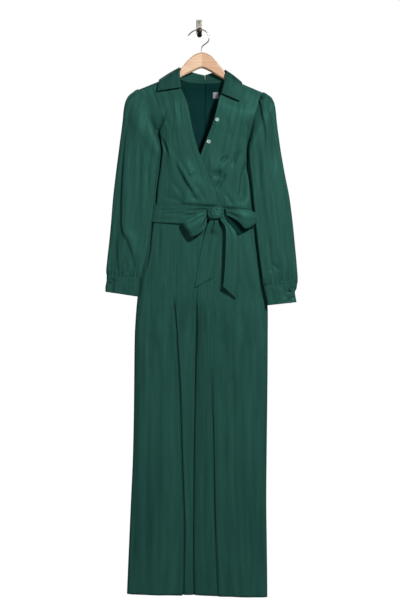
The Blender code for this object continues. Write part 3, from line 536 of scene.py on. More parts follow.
# %% Satin
TWILL_SCALE = 620.0      # one twill line each half millimetre
SATIN_DARK = (0.0124, 0.0545, 0.044)
SATIN_LIGHT = (0.0205, 0.081, 0.065)
SATIN_GLOSS = (0.16, 0.6, 0.48, 1)


def satin(name, dark, light, roughness, gloss, tint=SATIN_GLOSS):
    made, tree, shader = toned(
        name, ((0.3, dark), (0.72, light)), (70.0, 5.0, 1.0), 4.0, 0.6, "UV",
        Specular_IOR_Level=gloss, Specular_Tint=tint, Anisotropic=0.35)
    cloud = noise_of(tree, "UV", (12.0, 6.0, 1.0), 3.0)
    tree.links.new(range_of(tree, cloud, roughness - 0.05, roughness + 0.06),
                   shader.inputs["Roughness"])
    twill = twill_of(tree, TWILL_SCALE, 1.2)
    twill.bands_direction = "DIAGONAL"
    fine = bump_of(tree, twill.outputs["Fac"], 0.12, 0.00006)
    creased = noise_of(tree, "UV", (60.0, 22.0, 1.0), 3.0, 0.55)
    tree.links.new(bump_of(tree, creased, 0.25, 0.0012, fine), shader.inputs["Normal"])
    return made


SATIN_FACE = satin("satin face", SATIN_DARK, SATIN_LIGHT, 0.46, 0.16)
# the wrong side: far darker than the face, painted shade for the garment's inside and the loops'
# insides
SATIN_BACK_PAINTED_SHADE = satin("satin wrong side, darkened as painted shade", (0.0019, 0.02, 0.0182), (0.0029, 0.0275, 0.025), 0.62, 0.16,
                   (0.16, 0.45, 0.45, 1.0))
# the collar: a darker, less glossy copy of the face, which is painted shade on the collar
SATIN_COLLAR_PAINTED_SHADE = satin("satin over interfacing, darkened as painted shade", (0.0085, 0.038, 0.0315), (0.0165, 0.064, 0.053),
                     0.5, 0.12)
SATIN_DOUBLE = satin("satin on the second layer", SATIN_DARK, SATIN_LIGHT, 0.44, 0.17)
BODY_CLOTH = ("satin", SATIN_FACE, SATIN_BACK_PAINTED_SHADE)
DOUBLE_CLOTH = ("satin_trim", SATIN_DOUBLE, SATIN_DOUBLE)
COLLAR_CLOTH = ("satin", SATIN_COLLAR_PAINTED_SHADE, SATIN_COLLAR_PAINTED_SHADE)
# the loops' inner side takes the darkened wrong side, painted shade inside the loops
LOOP_CLOTH = ("satin_trim", SATIN_DOUBLE, SATIN_BACK_PAINTED_SHADE)
print("satin materials:", SATIN_FACE.name, "and", SATIN_BACK_PAINTED_SHADE.name)

# %% [markdown]
# ## The bodice
#
# Two fronts cross over the chest, the wearer's right one on top, and two backs meet in a seam at
# the centre. Each front is cut with one slanting edge that runs from the neck to the far side of
# the waist. The panels are bounded by four curves, the shoulder, the armhole and side, the free
# edge and the waist, and a Coons patch fills them, as a pattern cutter fills a piece between its
# seams.

# %% The bodice's edges
# height, place
ARMHOLE = {
    -1: ((-184, -176), (-210, -157), (-255, -146), (-285, -138), (-308, -126)),
    1: ((-192, 168), (-239, 152), (-283, 141.5), (-308, 138.5), (-325, 136)),
}
EDGE_OVER = (
    (-142, -75), (-155, -72), (-169, -66), (-181, -59), (-188, -56), (-224, -42), (-274, -31),
    (-318, -21), (-365, -7), (-424, 17), (-465, 32), (-514, 53), (-544, 62),
)
EDGE_UNDER = (
    (-153, 78), (-166, 73), (-183, 64), (-199, 52), (-246, 40), (-286, 28), (-314, 17), (-365, -3),
    (-430, -24), (-485, -42), (-537, -56),
)
# x, z
NECKLINE = {
    -1: ((-75, -142), (-73.6, -142.9), (-71.6, -145.8), (-67, -151), (-55, -158.8), (-33, -163.2),
         (8, -165.5)),
    1: ((78, -153), (76.6, -153.9), (74.4, -156.8), (69, -160), (57, -163), (38, -165),
        (8, -165.5)),
}
# how far the over front rises off the under one; then where that starts and over what run,
# first across and then down
WRAP_LIFT, WRAP_X, WRAP_RUN_X, WRAP_Z, WRAP_RUN_Z = 3.0, -125.0, 65.0, -240.0, 80.0
ARMHOLE_STEPS = (0, 0.006, 0.022, 0.05, 0.09, 0.16, 0.26, 0.38, 0.51, 0.65, 0.79, 0.91, 1)
SIDE_STEPS = (0.07, 0.17, 0.3, 0.45, 0.62, 0.78, 0.9, 1)


def armhole_row(side, step):
    z = blend(SHOULDER[side][1], UNDERARM[side][1], step)
    return at(ARMHOLE[side], z)[0], z


def side_edge(side):
    edge = [armhole_row(side, step) for step in ARMHOLE_STEPS]
    underarm = edge[-1][1]
    low = waist_height(side * body_half(side, WAIST))
    for step in SIDE_STEPS:
        z = blend(underarm, low, step)
        edge.append((side * body_half(side, z), z))
    return edge


def columns_share(u):
    return 1.0 - math.cos(u * math.pi / 2)


def keep_side(point, face):
    """Hold a point on its own side of the plane where front and back meet."""
    x, y, z = point
    return (x, mid(x) + face * max(face * (y - mid(x)), 0.0), z)


def shares_down(edge):
    """How far down an edge each of its points lies, from 0 at the top to 1 at the waist."""
    top, drop = edge[0][1], edge[0][1] - edge[-1][1]
    return [(top - z) / drop for _, z in edge]


def panel(top, outer, inner, face, lift=lambda x, z: 0.0):
    """Fill a panel between its top, its outer and inner edges, and the waist."""
    shares = [columns_share(k / (len(top) - 1)) for k in range(len(top))]
    low = [blend(outer[-1][0], inner[-1][0], share) for share in shares]
    bottom = [(x, waist_height(x)) for x in low]
    rows = []
    for v, (ox, oz), (ix, iz) in zip(shares_down(outer), outer, inner):
        row = []
        for share, (tx, tz), (bx, bz) in zip(shares, top, bottom):
            x = blend(ox, ix, share) + (1 - v) * (tx - blend(top[0][0], top[-1][0], share))
            z = blend(oz, iz, share) + (1 - v) * (tz - blend(top[0][1], top[-1][1], share))
            x += v * (bx - blend(bottom[0][0], bottom[-1][0], share))
            z += v * (bz - blend(bottom[0][1], bottom[-1][1], share))
            row.append(keep_side(shell(x, z, lift(x, z), face), face))
        rows.append(row)
    return rows


def wrap_lift(x, z):
    across, down = (x - WRAP_X) / WRAP_RUN_X, (WRAP_Z - z) / WRAP_RUN_Z
    return WRAP_LIFT * smoothstep(across) * smoothstep(down)


def front_rows(side, edge, *lift):
    outer = side_edge(side)
    top_z = edge[0][0]
    inner_drop = top_z - edge[-1][0]
    outer_drop = outer[0][1] - outer[-1][1]
    inner = []
    for v in shares_down(outer):
        z = blend(top_z - v * outer_drop, top_z - v * inner_drop, smoothstep(v * 2.5))
        inner.append((at(edge, z)[0], z))
    top = [blend_points(outer[0], inner[0], columns_share(k / 14)) for k in range(15)]
    return panel(top, outer, inner, -1, *lift)


def back_rows(side):
    neck, outer = NECKLINE[side], side_edge(side)
    top = [blend_points(outer[0], neck[0], columns_share(k / 13) / columns_share(7 / 13))
           for k in range(8)]
    top += neck[1:]
    low = waist_height(CENTRE_BACK)
    inner = [(CENTRE_BACK, blend(neck[-1][1], low, v)) for v in shares_down(outer)]
    return panel(top, outer, inner, 1)


print("points down the side seams:", [len(side_edge(side)) for side in SIDES.values()])

# %% [markdown]
# Now the folds of the bodice. The over front is pulled to the bow, so its folds fan out from the
# waist and from the armhole; the under front crumples where the wrap crosses it.

# %% The bodice's folds
# a path of x, z points; then depth, width, lean, and the shares that fade in and out
OVER_FOLDS = (
    (-76, -374, -51, -426, -6, -498, -8.5, 4, -3.4, 0.35, 0.35),
    (-104, -322, -84, -384, -1.8, 3, 0, 0.3, 0.3),
    (-115, -318, -94, -376, 3.6, 3.4, -0.4, 0.25, 0.4),
    (-79, -194, -70, -286, -1.2, 2.6, 0, 0.3, 0.4), (-66, -200, -56, -300, 1.2, 3.6, 0, 0.3, 0.5),
    (-98, -246, -125, -302, -116, -354, -121, -400, -128, -450, -134, -512, 9, 4.2, 0, 0.15, 0.05),
    (-40, -414, -30, -428, -4, 2.6, -2, 0.4, 0.4), (-60, -384, -28, -440, 1.6, 3.2, -0.5, 0.4, 0.4),
    (-96, -430, -44, -496, 1.8, 4, -0.6, 0.4, 0.3), (-120, -480, -50, -502, 1.8, 4, -0.6, 0.4, 0.2),
    (-70, -501, 46, -510, -6.5, 2.8, -7, 0.25, 0.1), (-36, -478, -6, -488, -3, 2.8, -2, 0.4, 0.4),
    (-24, -440, 14, -506, 1.6, 4, -0.4, 0.4, 0.3), (-140, -180, -120, -240, 1.2, 5, 0, 0.3, 0.4),
    (-60, -300, -30, -390, -0.9, 6, 0, 0.4, 0.4), (0, -380, 40, -500, -1, 4, 0, 0.4, 0.2),
)
UNDER_FOLDS = (
    (128, -376, 112, -430, 102, -508, 7.5, 4.2, -1.6, 0.25, 0.25),
    (108, -352, 94, -374, 80, -402, 5.5, 3, -0.5, 0.35, 0.4),
    (74, -369, 48, -390, 6, 2.8, -0.6, 0.4, 0.4),
    (18, -415, 50, -411, 66, -417, -5, 2.6, -5, 0.25, 0.25),
    (24, -433, 58, -429, 6, 3.2, -1.6, 0.35, 0.35),
    (68, -419, 50, -442, 36, -470, 7, 3.2, -0.6, 0.25, 0.4),
    (16, -420, 40, -442, -4, 2.6, -2, 0.35, 0.35), (60, -470, 84, -512, 2.4, 3.4, -0.5, 0.4, 0.2),
    (50, -511, 140, -521, -5, 2.6, -7, 0.2, 0.2),
    (118, -262, 133, -306, 128, -344, 131, -404, 136, -454, 142, -512, 2.8, 3.2, 0, 0.15, 0.05),
    (70, -240, 90, -330, -0.8, 7, 0, 0.4, 0.4), (84, -230, 60, -300, 0.8, 5, 0, 0.4, 0.4),
)
BACK_FOLDS = (
    (-60, -480, -84, -380, 2, 8, 0.5, 0.15, 0.5), (-98, -486, -112, -360, 1.8, 8, 0.4, 0.15, 0.5),
    (-30, -500, -36, -420, 1.5, 7, -0.4, 0.15, 0.5), (66, -490, 92, -370, 2, 8, -0.5, 0.15, 0.5),
    (112, -494, 120, -380, 1.6, 8, -0.4, 0.15, 0.5), (36, -500, 44, -410, 1.4, 6, 0.4, 0.15, 0.5),
    (-104, -240, -128, -306, 2.4, 8, -0.4, 0.4, 0.1), (108, -250, 134, -322, 2.2, 8, 0.4, 0.4, 0.1),
    (-120, -300, -60, -360, 1.4, 8, 0.3, 0.2, 0.5), (128, -316, 70, -372, 1.4, 8, -0.3, 0.2, 0.5),
    (-60, -200, -52, -320, -0.8, 10, 0, 0.4, 0.4), (70, -210, 58, -330, -0.8, 10, 0, 0.4, 0.4),
)


def bodice_press(folds, seed):
    """Folds and slack of a bodice panel, calm at the armhole, side and centre seams."""
    def height(u, w, x, y, z):
        loose = slack(x, z, 34.0, 1.8, seed, 0.75)
        calm = smoothstep(u * 6.0) * smoothstep(w * 14.0)
        return (pressed(x, z, folds) + loose + ribs(x, z, seed, 0.36)) * calm
    return height


def back_press(u, w, *spot):
    return bodice_press(BACK_FOLDS, 7.0)(u, w, *spot) * smoothstep((1.0 - u) * 9.0)


print("folds in the bodice:", [len(table) for table in (OVER_FOLDS, UNDER_FOLDS, BACK_FOLDS)])

# %% The four panels
for name, rows, press in (
        ("over", front_rows(-1, EDGE_OVER, wrap_lift), bodice_press(OVER_FOLDS, 1.0)),
        ("under", front_rows(1, EDGE_UNDER), bodice_press(UNDER_FOLDS, 3.0))):
    sew("front_" + name, rows, 112, 180, BODY_CLOTH, towards(0, -1, 0.2), folds=press)
for name, side in SIDES.items():
    sew("back_" + name, back_rows(side), 80, 130, BODY_CLOTH, towards(0, 1, 0.2),
        folds=back_press)

# %% [markdown]
# ## The collar
#
# A shirt collar is a stand that rises from the neck seam and a fall that turns over it. Interfacing
# keeps it stiff, so it has no folds, only a slow wave and a crisp edge. Each section runs from the
# seam over the fold to the free edge.

# %% The collar
# side (1 behind, 0 on the shoulder, -1 in front), seam x, z, fold x, z, rise, edge x, z
COLLAR_R = (
    (1, 8, -165.5, 8, -142, -1.5, 8, -190), (1, -21, -164.3, -22, -135, -1.5, -30, -189),
    (1, -48, -160.7, -45, -127, -1, -72, -182), (1, -66, -152, -58, -123, 1, -102, -170),
    (0, -75, -142, -63, -121.5, 0, -119, -161.5), (-1, -72, -155, -63, -134, 6, -122, -172),
    (-1, -66, -169, -62, -157, 7, -124.5, -182), (-1, -59, -181, -59, -180.5, 5, -126, -190),
)
COLLAR_L = (
    (1, 8, -165.5, 8, -142, -1.5, 8, -190), (1, 24, -165.5, 22, -137, -1.5, 32, -190),
    (1, 50, -164, 45, -132, -1, 72, -186), (1, 68, -159, 60, -130, 1, 98, -177),
    (0, 78, -153, 66, -129, 0, 111, -168.5), (-1, 74, -166, 66, -143, 6, 114, -183),
    (-1, 65, -182, 62, -168, 7, 113, -199), (-1, 53, -198, 53.5, -197.5, 5, 105, -219),
)
COLLAR_LIFT = 3.4
COLLAR_EDGE_LIFT = 4.6
COLLAR_EDGE_LIFT_FRONT = 3.2
COLLAR_ROLL = 2.6
COLLAR_SWELL = 1.6
COLLAR_IN = 0.9
COLLAR_IN_FRONT = 1.1


def clear_of_body(point, lift):
    """Push a point out of the bodice's outer face, by lift."""
    x, y, z = point
    top = shoulder_height(x)
    across = y - mid(x)
    if z > top - ROLL:
        rise = z - (top - ROLL)
        grow = max(1.0, (ROLL + lift) / math.hypot(across, rise))
        return (x, mid(x) + across * grow, top - ROLL + rise * grow)
    face = -1 if across < 0 else 1
    limit = abs(shell(x, z, lift, face)[1] - mid(x))
    return (x, mid(x) + face * max(abs(across), limit), z)


def collar_rows(table, side):
    rows = []
    for face, seam_x, seam_z, fold_x, fold_z, rise, edge_x, edge_z in resample(table, 13):
        behind = -1 if face < 0 else 1
        seam_y = behind * abs(shell(seam_x, seam_z, -CLOTH / 4, behind)[1] - mid(seam_x))
        fold_y = mid(fold_x) + (seam_y + face * rise)
        inward = -side * (COLLAR_IN + COLLAR_IN_FRONT * max(-face, 0.0))
        seam = (seam_x + inward, mid(seam_x) + seam_y, seam_z)
        fold_in = (fold_x + inward * 0.6, fold_y, fold_z - 1.5)
        fold = (fold_x + side * COLLAR_ROLL / 2, fold_y + face * COLLAR_ROLL / 2, fold_z + 0.6)
        fold_out = (fold_x + side * COLLAR_ROLL, fold_y + face * COLLAR_ROLL, fold_z - 1.0)
        stand_off = COLLAR_EDGE_LIFT + COLLAR_EDGE_LIFT_FRONT * max(-face, 0.0)
        edge = clear_of_body((edge_x, mid(edge_x) + face * 8.0, edge_z), stand_off)
        row = [seam, blend_points(seam, fold_in, 0.55), fold_in, fold]
        for step in (0.0, 0.25, 0.5, 0.75, 1.0):
            x, y, z = blend_points(fold_out, edge, step)
            swell = COLLAR_SWELL * math.sin(math.pi * step)
            outside = (x, y + face * swell, z + (1 - abs(face)) * swell)
            row.append(clear_of_body(outside, COLLAR_LIFT))
        rows.append(row)
    rows[0] = [(CENTRE_BACK, y, z) for _, y, z in rows[0]]
    return rows


def collar_press(u, w, x, y, z):
    calm = smoothstep(w * 8.0) * smoothstep((u - 0.4) * 4.0)
    return slack(x + OFFSET_X, z, 26.0, 1.0, 11.0, 0.5) * calm


for name, table in (("right", COLLAR_R), ("left", COLLAR_L)):
    rows = collar_rows(table, SIDES[name])
    middle = rows[len(rows) // 2][4]
    look = Vector((middle[0], middle[1] - MID_Y, 60.0))
    sew("collar_" + name, rows, 44, 66, COLLAR_CLOTH, lambda centre, look=look: look, wall=1.1,
        folds=collar_press)

# %% [markdown]
# ## The sleeves
#
# A bishop sleeve has more cloth than the armhole and the cuff can take, so its head is gathered
# into the armhole and its end into the cuff. On the hanger it is a flattened tube that falls from
# the shoulder's edge. The first ring follows the armhole, and the next ones turn step by step
# into the sleeve's own oval. One grid, joined along its underarm seam, makes the tube.

# %% The sleeves' sections
# outer x, z; inner x, z; outer y, inner y; bulge in front, behind
SLEEVE_R = (
    (-186, -188, -123.5, -313, -1, -9, 22, 15), (-200, -197, -118.5, -332, -2, -16, 22, 14),
    (-211, -211, -115, -352, -3, -20, 22, 13), (-218, -236, -116.5, -372, -4, -22, 22, 11),
    (-222, -275, -120.5, -396, -4, -20, 20, 9), (-229, -330, -126.5, -430, -4, -22, 18, 8),
    (-238, -400, -132, -485, -5, -22, 17, 8), (-248, -485, -138, -545, -5, -23, 16, 8),
    (-255, -570, -145, -605, -5, -23, 16, 8), (-261, -630, -153, -652, -6, -23, 16, 8),
    (-266, -675, -163, -687, -7, -24, 15, 8), (-265, -703, -172, -713, -8, -24, 12, 7),
)
SLEEVE_L = (
    (178, -196, 133.5, -328, -1, -9, 22, 15), (191, -204, 130.5, -343, -2, -16, 22, 14),
    (201, -217, 129.5, -360, -3, -20, 22, 13), (206, -243, 130.5, -382, -4, -19, 20, 11),
    (210, -283, 132.5, -408, -4, -18, 18, 9), (217, -335, 136.5, -440, -4, -18, 16, 8),
    (228, -405, 141.5, -492, -5, -18, 16, 8), (243, -480, 147, -551, -5, -19, 15, 8),
    (254, -565, 153.5, -611, -5, -20, 15, 8), (261, -640, 160, -665, -6, -22, 15, 8),
    (265.5, -690, 166, -705, -7, -24, 15, 8), (265, -727, 171, -734, -8, -24, 12, 7),
)
CUFF_R = (
    (-265.8, -702, -171.3, -712, -8, -24, 12.7, 7.7), (-266, -720, -173, -730, -8, -24, 12.2, 7.2),
    (-269, -735, -175, -748, -8, -24, 11, 7), (-270, -750, -177, -764, -8, -24, 10, 7),
)
CUFF_L = (
    (265.8, -726, 170.3, -733, -8, -24, 12.7, 7.7), (263, -742, 174, -752, -8, -24, 12.2, 7.2),
    (259, -752, 178, -768, -8, -24, 11, 7), (264, -779, 182, -788, -8, -24, 10, 7),
)
# share of the way round, depth, width as a share, fading in and out down the sleeve
SLEEVE_WAVES = (
    (0.13, 2.6, 0.035, 0.1, 0.95), (0.22, -1.8, 0.04, 0.15, 0.9), (0.34, 2.2, 0.035, 0.3, 1),
    (0.62, 1.8, 0.05, 0.2, 1), (0.82, 1.8, 0.05, 0.2, 1),
)
SLEEVE_ROWS = 15
SLEEVE_TAKES_OVER = (0.42, 0.75, 0.93)
SEAM_TUCK = 1.4          # how far the sleeve's edge lies under the bodice's
UNDERARM_TUCK = 2.5      # and how many times more it does at the underarm
UNDERARM_RISE = 4.0      # how far it is drawn up there


def sleeve_point(row, share, along=None):
    """A point round a sleeve's section: share 0 outside, 0.5 inside, front first."""
    out_x, out_z, in_x, in_z, out_y, in_y, front, behind = row
    c, s = turned(share)
    flat = 0.45 if along is None else blend(0.8, 0.45, smoothstep(along * 4.0))
    swell = abs(s) ** flat * (-front if s > 0 else behind)
    if along is not None:
        for middle, deep, width, start, stop in SLEEVE_WAVES:
            fade = smoothstep((along - start) / 0.2) * smoothstep((stop - along) / 0.1 + 0.5)
            dent = deep * fade * math.exp(-(((share - middle) / width) ** 2))
            swell += dent if s > 0 else -dent
    inward = (1 - c) / 2
    x = blend(out_x, in_x, inward)
    return (x, mid(x) + blend(out_y, in_y, inward) + swell, blend(out_z, in_z, inward))


def armhole_ring(side):
    ring = []
    for face, steps in ((-1, ARMHOLE_STEPS), (1, ARMHOLE_STEPS[-2:0:-1])):
        for step in steps:
            x, y, z = shell(*armhole_row(side, step), -SEAM_TUCK / 2, face)
            low = smoothstep((step - 0.6) / 0.4)
            tuck = side * SEAM_TUCK * (1 + UNDERARM_TUCK * low)
            ring.append((x - tuck, y, z + UNDERARM_RISE * low))
    return ring


def sleeve_rows(side, table):
    """Rings from the armhole's own to the sleeve's oval, which takes over in three steps."""
    ring = armhole_ring(side)
    rows = [ring]
    shares = [k / len(ring) for k in range(len(ring))]
    half = ring[len(ring) // 2]
    for k, row in enumerate(resample(table, SLEEVE_ROWS)):
        own = [sleeve_point(row, share, k / (SLEEVE_ROWS - 1)) for share in shares]
        if k < len(SLEEVE_TAKES_OVER):
            moved = []
            for (x, y, z), share in zip(ring, shares):
                w = (1 - turned(share)[0]) / 2
                moved.append((x + blend(row[0] - ring[0][0], row[2] - half[0], w),
                              y + blend(row[4], row[5], w),
                              z + blend(row[1] - ring[0][2], row[3] - half[2], w)))
            own = [blend_points(a, b, SLEEVE_TAKES_OVER[k]) for a, b in zip(moved, own)]
        rows.append(own)
    return rows


for side in SIDES.values():
    print("round the armhole:", round(path_length([place(p) for p in armhole_ring(side)]), 3), "m")

# %% [markdown]
# The folds of the sleeves. The right one has a long crease down its outer side that turns inwards
# above the cuff; the left one has a pleat from its head. The gathers at both ends are a wave
# whose pitch is uneven, as a gathering thread leaves them.

# %% The sleeves' folds
SLEEVE_FOLDS_R = (
    (-207, -250, -219, -475, -221, -558, -217, -584, -203, -607, -189, -648, -178, -702,
     -6, 4, -2, 0.35, 0.15),
    (-182, -290, -186, -560, -1.4, 4.4, 0, 0.3, 0.3),
    (-160, -330, -165, -600, -1.2, 4.4, 0, 0.3, 0.3),
    (-172, -310, -175, -580, 1.8, 3.4, 0, 0.3, 0.3),
    (-235, -420, -246, -560, 1.8, 4, 0.3, 0.3, 0.3),
    (-198, -330, -202, -520, 1.4, 3.4, -0.3, 0.4, 0.4),
    (-240, -600, -236, -696, 2.6, 3.6, 0.4, 0.4, 0.1),
    (-214, -650, -208, -702, 2.8, 3, -0.4, 0.5, 0.1),
    (-160, -560, -166, -696, 2.2, 4, -0.3, 0.4, 0.1),
    (-150, -380, -148, -520, 1.8, 4, -0.3, 0.4, 0.4),
    (-250, -560, -256, -690, 1.6, 3.6, 0.3, 0.4, 0.1),
)
SLEEVE_FOLDS_L = (
    (164, -206, 170, -257, 178, -306, 184, -390, -7, 3.4, -2.4, 0.12, 0.45),
    (155, -216, 150, -252, 3, 2.8, 0, 0.2, 0.4), (180, -212, 190, -262, 3, 3, 0.3, 0.15, 0.5),
    (166, -300, 176, -480, -1.3, 4.4, 0, 0.3, 0.3), (158, -330, 164, -500, 1.8, 3.4, 0.3, 0.3, 0.4),
    (194, -290, 206, -420, 1.8, 4, 0.3, 0.3, 0.4), (200, -420, 216, -640, 2, 4.4, 0.4, 0.3, 0.3),
    (184, -400, 194, -600, 1.4, 3.6, -0.3, 0.4, 0.4),
    (150, -420, 158, -600, 1.8, 4, -0.3, 0.3, 0.3), (226, -440, 240, -640, 1.8, 4, 0.3, 0.3, 0.3),
    (184, -580, 194, -700, 2.6, 3.6, 0.4, 0.4, 0.1),
    (216, -650, 221, -724, 3.8, 3, -0.5, 0.4, 0.05), (190, -672, 215, -692, 3.2, 3, -0.4, 0.3, 0.3),
    (230, -690, 236, -724, 3.2, 2.6, -0.5, 0.4, 0.05),
    (170, -640, 176, -726, 2.2, 3.6, -0.3, 0.4, 0.1),
    (246, -660, 250, -722, 2.2, 3.4, 0.3, 0.4, 0.1),
)
SLEEVE_FOLDS_BACK_R = (
    (-196, -260, -214, -560, 2, 6, 0.5, 0.3, 0.3), (-160, -320, -176, -600, 1.6, 6, -0.4, 0.3, 0.3),
    (-232, -430, -244, -660, 1.6, 6, 0.3, 0.3, 0.2),
    (-200, -560, -196, -700, 1.8, 5, 0.4, 0.4, 0.1),
)
SLEEVE_FOLDS_BACK_L = (
    (188, -270, 206, -560, 2, 6, -0.5, 0.3, 0.3), (158, -330, 170, -610, 1.6, 6, 0.4, 0.3, 0.3),
    (222, -440, 240, -670, 1.6, 6, -0.3, 0.3, 0.2), (206, -580, 208, -720, 1.8, 5, -0.4, 0.4, 0.1),
)


# how many round, the seam's share of the length, the share where they end, depth
HEAD_GATHERS = (37, 0.0, 0.13, 4.2)
CUFF_GATHERS = (29, 1.0, 0.90, 3.0)


def gathers(u, w, seed, count, start, stop, strength):
    """Puckers that fade from the seam at start to stop, round a sleeve."""
    fade = smoothstep((w - stop) / (start - stop))
    if fade <= 0.0:
        return 0.0
    lie = noise.noise(Vector((*turned(u), seed)))
    wave = math.sin(2 * math.pi * (u * count + 0.9 * lie))
    return strength * wave * (0.6 + 0.6 * noise.noise(Vector((u * 9.0, seed, w * 2)))) * fade


def sleeve_press(front, back, seed):
    def height(u, w, x, y, z):
        outside, ahead = turned(u)
        total = pressed(x, z, front) * smoothstep(ahead * 2.2)
        total += pressed(x, z, back) * smoothstep(-ahead * 2.2)
        head = smoothstep((outside + 0.35) / 1.1)
        total += gathers(u, w, seed, *HEAD_GATHERS) * head
        total += gathers(u, w, seed + 3, *CUFF_GATHERS)
        half = seed + (ahead > 0)
        loose = slack(x, z, 26.0, 3.4, half, 1.0) + ribs(x - 0.16 * z, z, half, 0.6)
        total += loose * smoothstep(abs(ahead) * 3.0)
        under = smoothstep(w * (40.0 if head > 0.4 else 9.0))
        return total * under * smoothstep((1.02 - w) * 26.0)
    return height


def outwards(rows):
    """Away from the middle of the nearest ring."""
    middles = [middle_of(row) for row in rows]
    return lambda centre: centre - min(middles, key=lambda m: abs(m.z - centre.z))


for name, table, front, back, seed in (
        ("right", SLEEVE_R, SLEEVE_FOLDS_R, SLEEVE_FOLDS_BACK_R, 21.0),
        ("left", SLEEVE_L, SLEEVE_FOLDS_L, SLEEVE_FOLDS_BACK_L, 31.0)):
    rows = sleeve_rows(SIDES[name], table)
    sew("sleeve_" + name, rows, 144, 165, BODY_CLOTH, outwards(rows), closed=True,
        folds=sleeve_press(front, back, seed))

# %% [markdown]
# ## The cuffs
#
# Each cuff is a short band of two layers with a little stiffness. The left one is bent where it
# hung against something, so its outer edge has a notch and two crumples.

# %% The cuffs
CUFF_FOLDS_R = (
    (-246, -708, -250, -756, 2.2, 3.4, 0.4, 0.2, 0.2),
    (-214, -712, -212, -752, -1.2, 4, 0, 0.3, 0.3), (-190, -716, -194, -756, 1.8, 3, 0.3, 0.2, 0.3),
    (-262, -716, -228, -724, 1.4, 2.6, 0, 0.3, 0.4),
)
CUFF_FOLDS_L = (
    (262, -740, 230, -756, 3.4, 3, 0.5, 0.1, 0.4), (260, -762, 234, -776, 3, 2.8, -0.5, 0.2, 0.4),
    (214, -736, 217, -780, -1.6, 3.6, 0, 0.3, 0.3), (228, -734, 232, -772, 2.4, 2.8, 0.4, 0.2, 0.3),
    (194, -738, 198, -780, 1.8, 3, 0.3, 0.2, 0.3), (252, -730, 246, -782, 2.2, 2.8, 0, 0.2, 0.2),
)
CUFF_STITCHES, STITCH_WIDTH = (0.93, 0.05), 0.02


def cuff_press(table, seed):
    def height(u, w, x, y, z):
        ahead = smoothstep(turned(u)[1] * 2.5)
        total = pressed(x, z, table) * ahead + slack(x, z, 16.0, 1.6, seed, 0.7)
        hem = sum(math.exp(-(((w - line) / STITCH_WIDTH) ** 2)) for line in CUFF_STITCHES)
        return total * smoothstep(w * 8.0) - 0.4 * hem
    return height


for name, table, folds, seed in (("right", CUFF_R, CUFF_FOLDS_R, 41.0),
                                 ("left", CUFF_L, CUFF_FOLDS_L, 43.0)):
    rows = [[sleeve_point(row, k / 22) for k in range(22)] for row in resample(table, 4)]
    sew("cuff_" + name, rows, 120, 34, DOUBLE_CLOTH, outwards(rows), closed=True, wall=1.5,
        folds=cuff_press(folds, seed))

# %% [markdown]
# ## The legs
#
# Wide legs fall straight from the waist. The cloth is flat at the back; in front each leg has a
# fold that runs the whole way down, deep on the right leg, where the upper layer hides the start of
# the lower one, and soft on the left. Those two are in the rows; the others are pressed in.

# %% The legs' rows
# height, place of the fold's edge
TUCK_R = (
    (-600, -80), (-753, -76), (-868, -71), (-1019, -62), (-1193, -57), (-1414, -49), (-1620, -54),
)
STEP_L = ((-600, 18), (-857, 26), (-1053, 31), (-1193, 32), (-1389, 38), (-1620, 47))
# across the fold: way towards the inseam, share of the drop to the lower layer
TUCK_SHAPE = (
    (-16, 0), (-7, -0.12), (-2, -0.16), (0, 0.02), (-1.5, 0.36), (-5.5, 0.62), (-4, 0.92), (3, 1),
    (11, 1),
)
STEP_SHAPE = ((-14, 0), (-6, -0.2), (-2, -0.1), (0, 0.3), (2, 0.85), (6, 1.05), (13, 1))
# shape, path, share of the depth it drops, height where it starts, run to its full depth
LEG_FOLD = {-1: (TUCK_SHAPE, TUCK_R, 0.42, -725, 130), 1: (STEP_SHAPE, STEP_L, 0.22, -880, 250)}
LEG_STEPS = (
    0, 0.05, 0.1, 0.15, 0.175, 0.2, 0.23, 0.26, 0.3019, 0.34, 0.4, 0.48, 0.57, 0.66, 0.75, 0.84,
    0.93, 1,
)
LEG_BACK_COLUMNS, LEG_PLAIN_COLUMNS = 10, 8
LEG_INNER = (0.45, 0.8, 0.95, 1.0)


def leg_columns(side, z, face, fold_x, strength):
    """Places across a leg panel from the side seam to the inseam, each with its drop."""
    shape, _, drop, *_ = LEG_FOLD[side]
    outer = side * body_half(side, z)
    inner = at(INSEAM, z)[0]
    if face > 0:
        return [(blend(outer, inner, (1 - math.cos(math.pi * k / LEG_BACK_COLUMNS)) / 2), 0.0)
                for k in range(LEG_BACK_COLUMNS + 1)]
    start, stop = shape[0][0], shape[-1][0]
    first, last = fold_x - side * start, fold_x - side * stop
    places = [(blend(outer, first, 1 - math.cos(math.pi / 2 * k / LEG_PLAIN_COLUMNS)), 0.0)
              for k in range(LEG_PLAIN_COLUMNS)]
    for k, (way, level) in enumerate(shape):
        plain = start + (stop - start) * k / (len(shape) - 1)
        places.append((fold_x - side * blend(plain, way, strength), level * drop * strength))
    return places + [(blend(last, inner, u), drop * strength) for u in LEG_INNER]


def leg_rows(side, face):
    _, path, _, top, run = LEG_FOLD[side]
    rows = []
    for step in LEG_STEPS:
        row_z = blend(WAIST, LEG_END, step)
        fold = at(path, row_z)[0], smoothstep((top - row_z) / run)
        row = []
        for k, (x, _) in enumerate(leg_columns(side, row_z, face, *fold)):
            z = blend(waist_height(x), hem_height(x), step)
            x, level = leg_columns(side, z, face, *fold)[k]
            y = shell(x, z, 0.0, face)[1]
            row.append(keep_side((x, mid(x) + (y - mid(x)) * (1 - level), z), face))
        rows.append(row)
    return rows


print("leg rows:", len(leg_rows(-1, -1)), "of", len(leg_rows(-1, -1)[0]), "points")

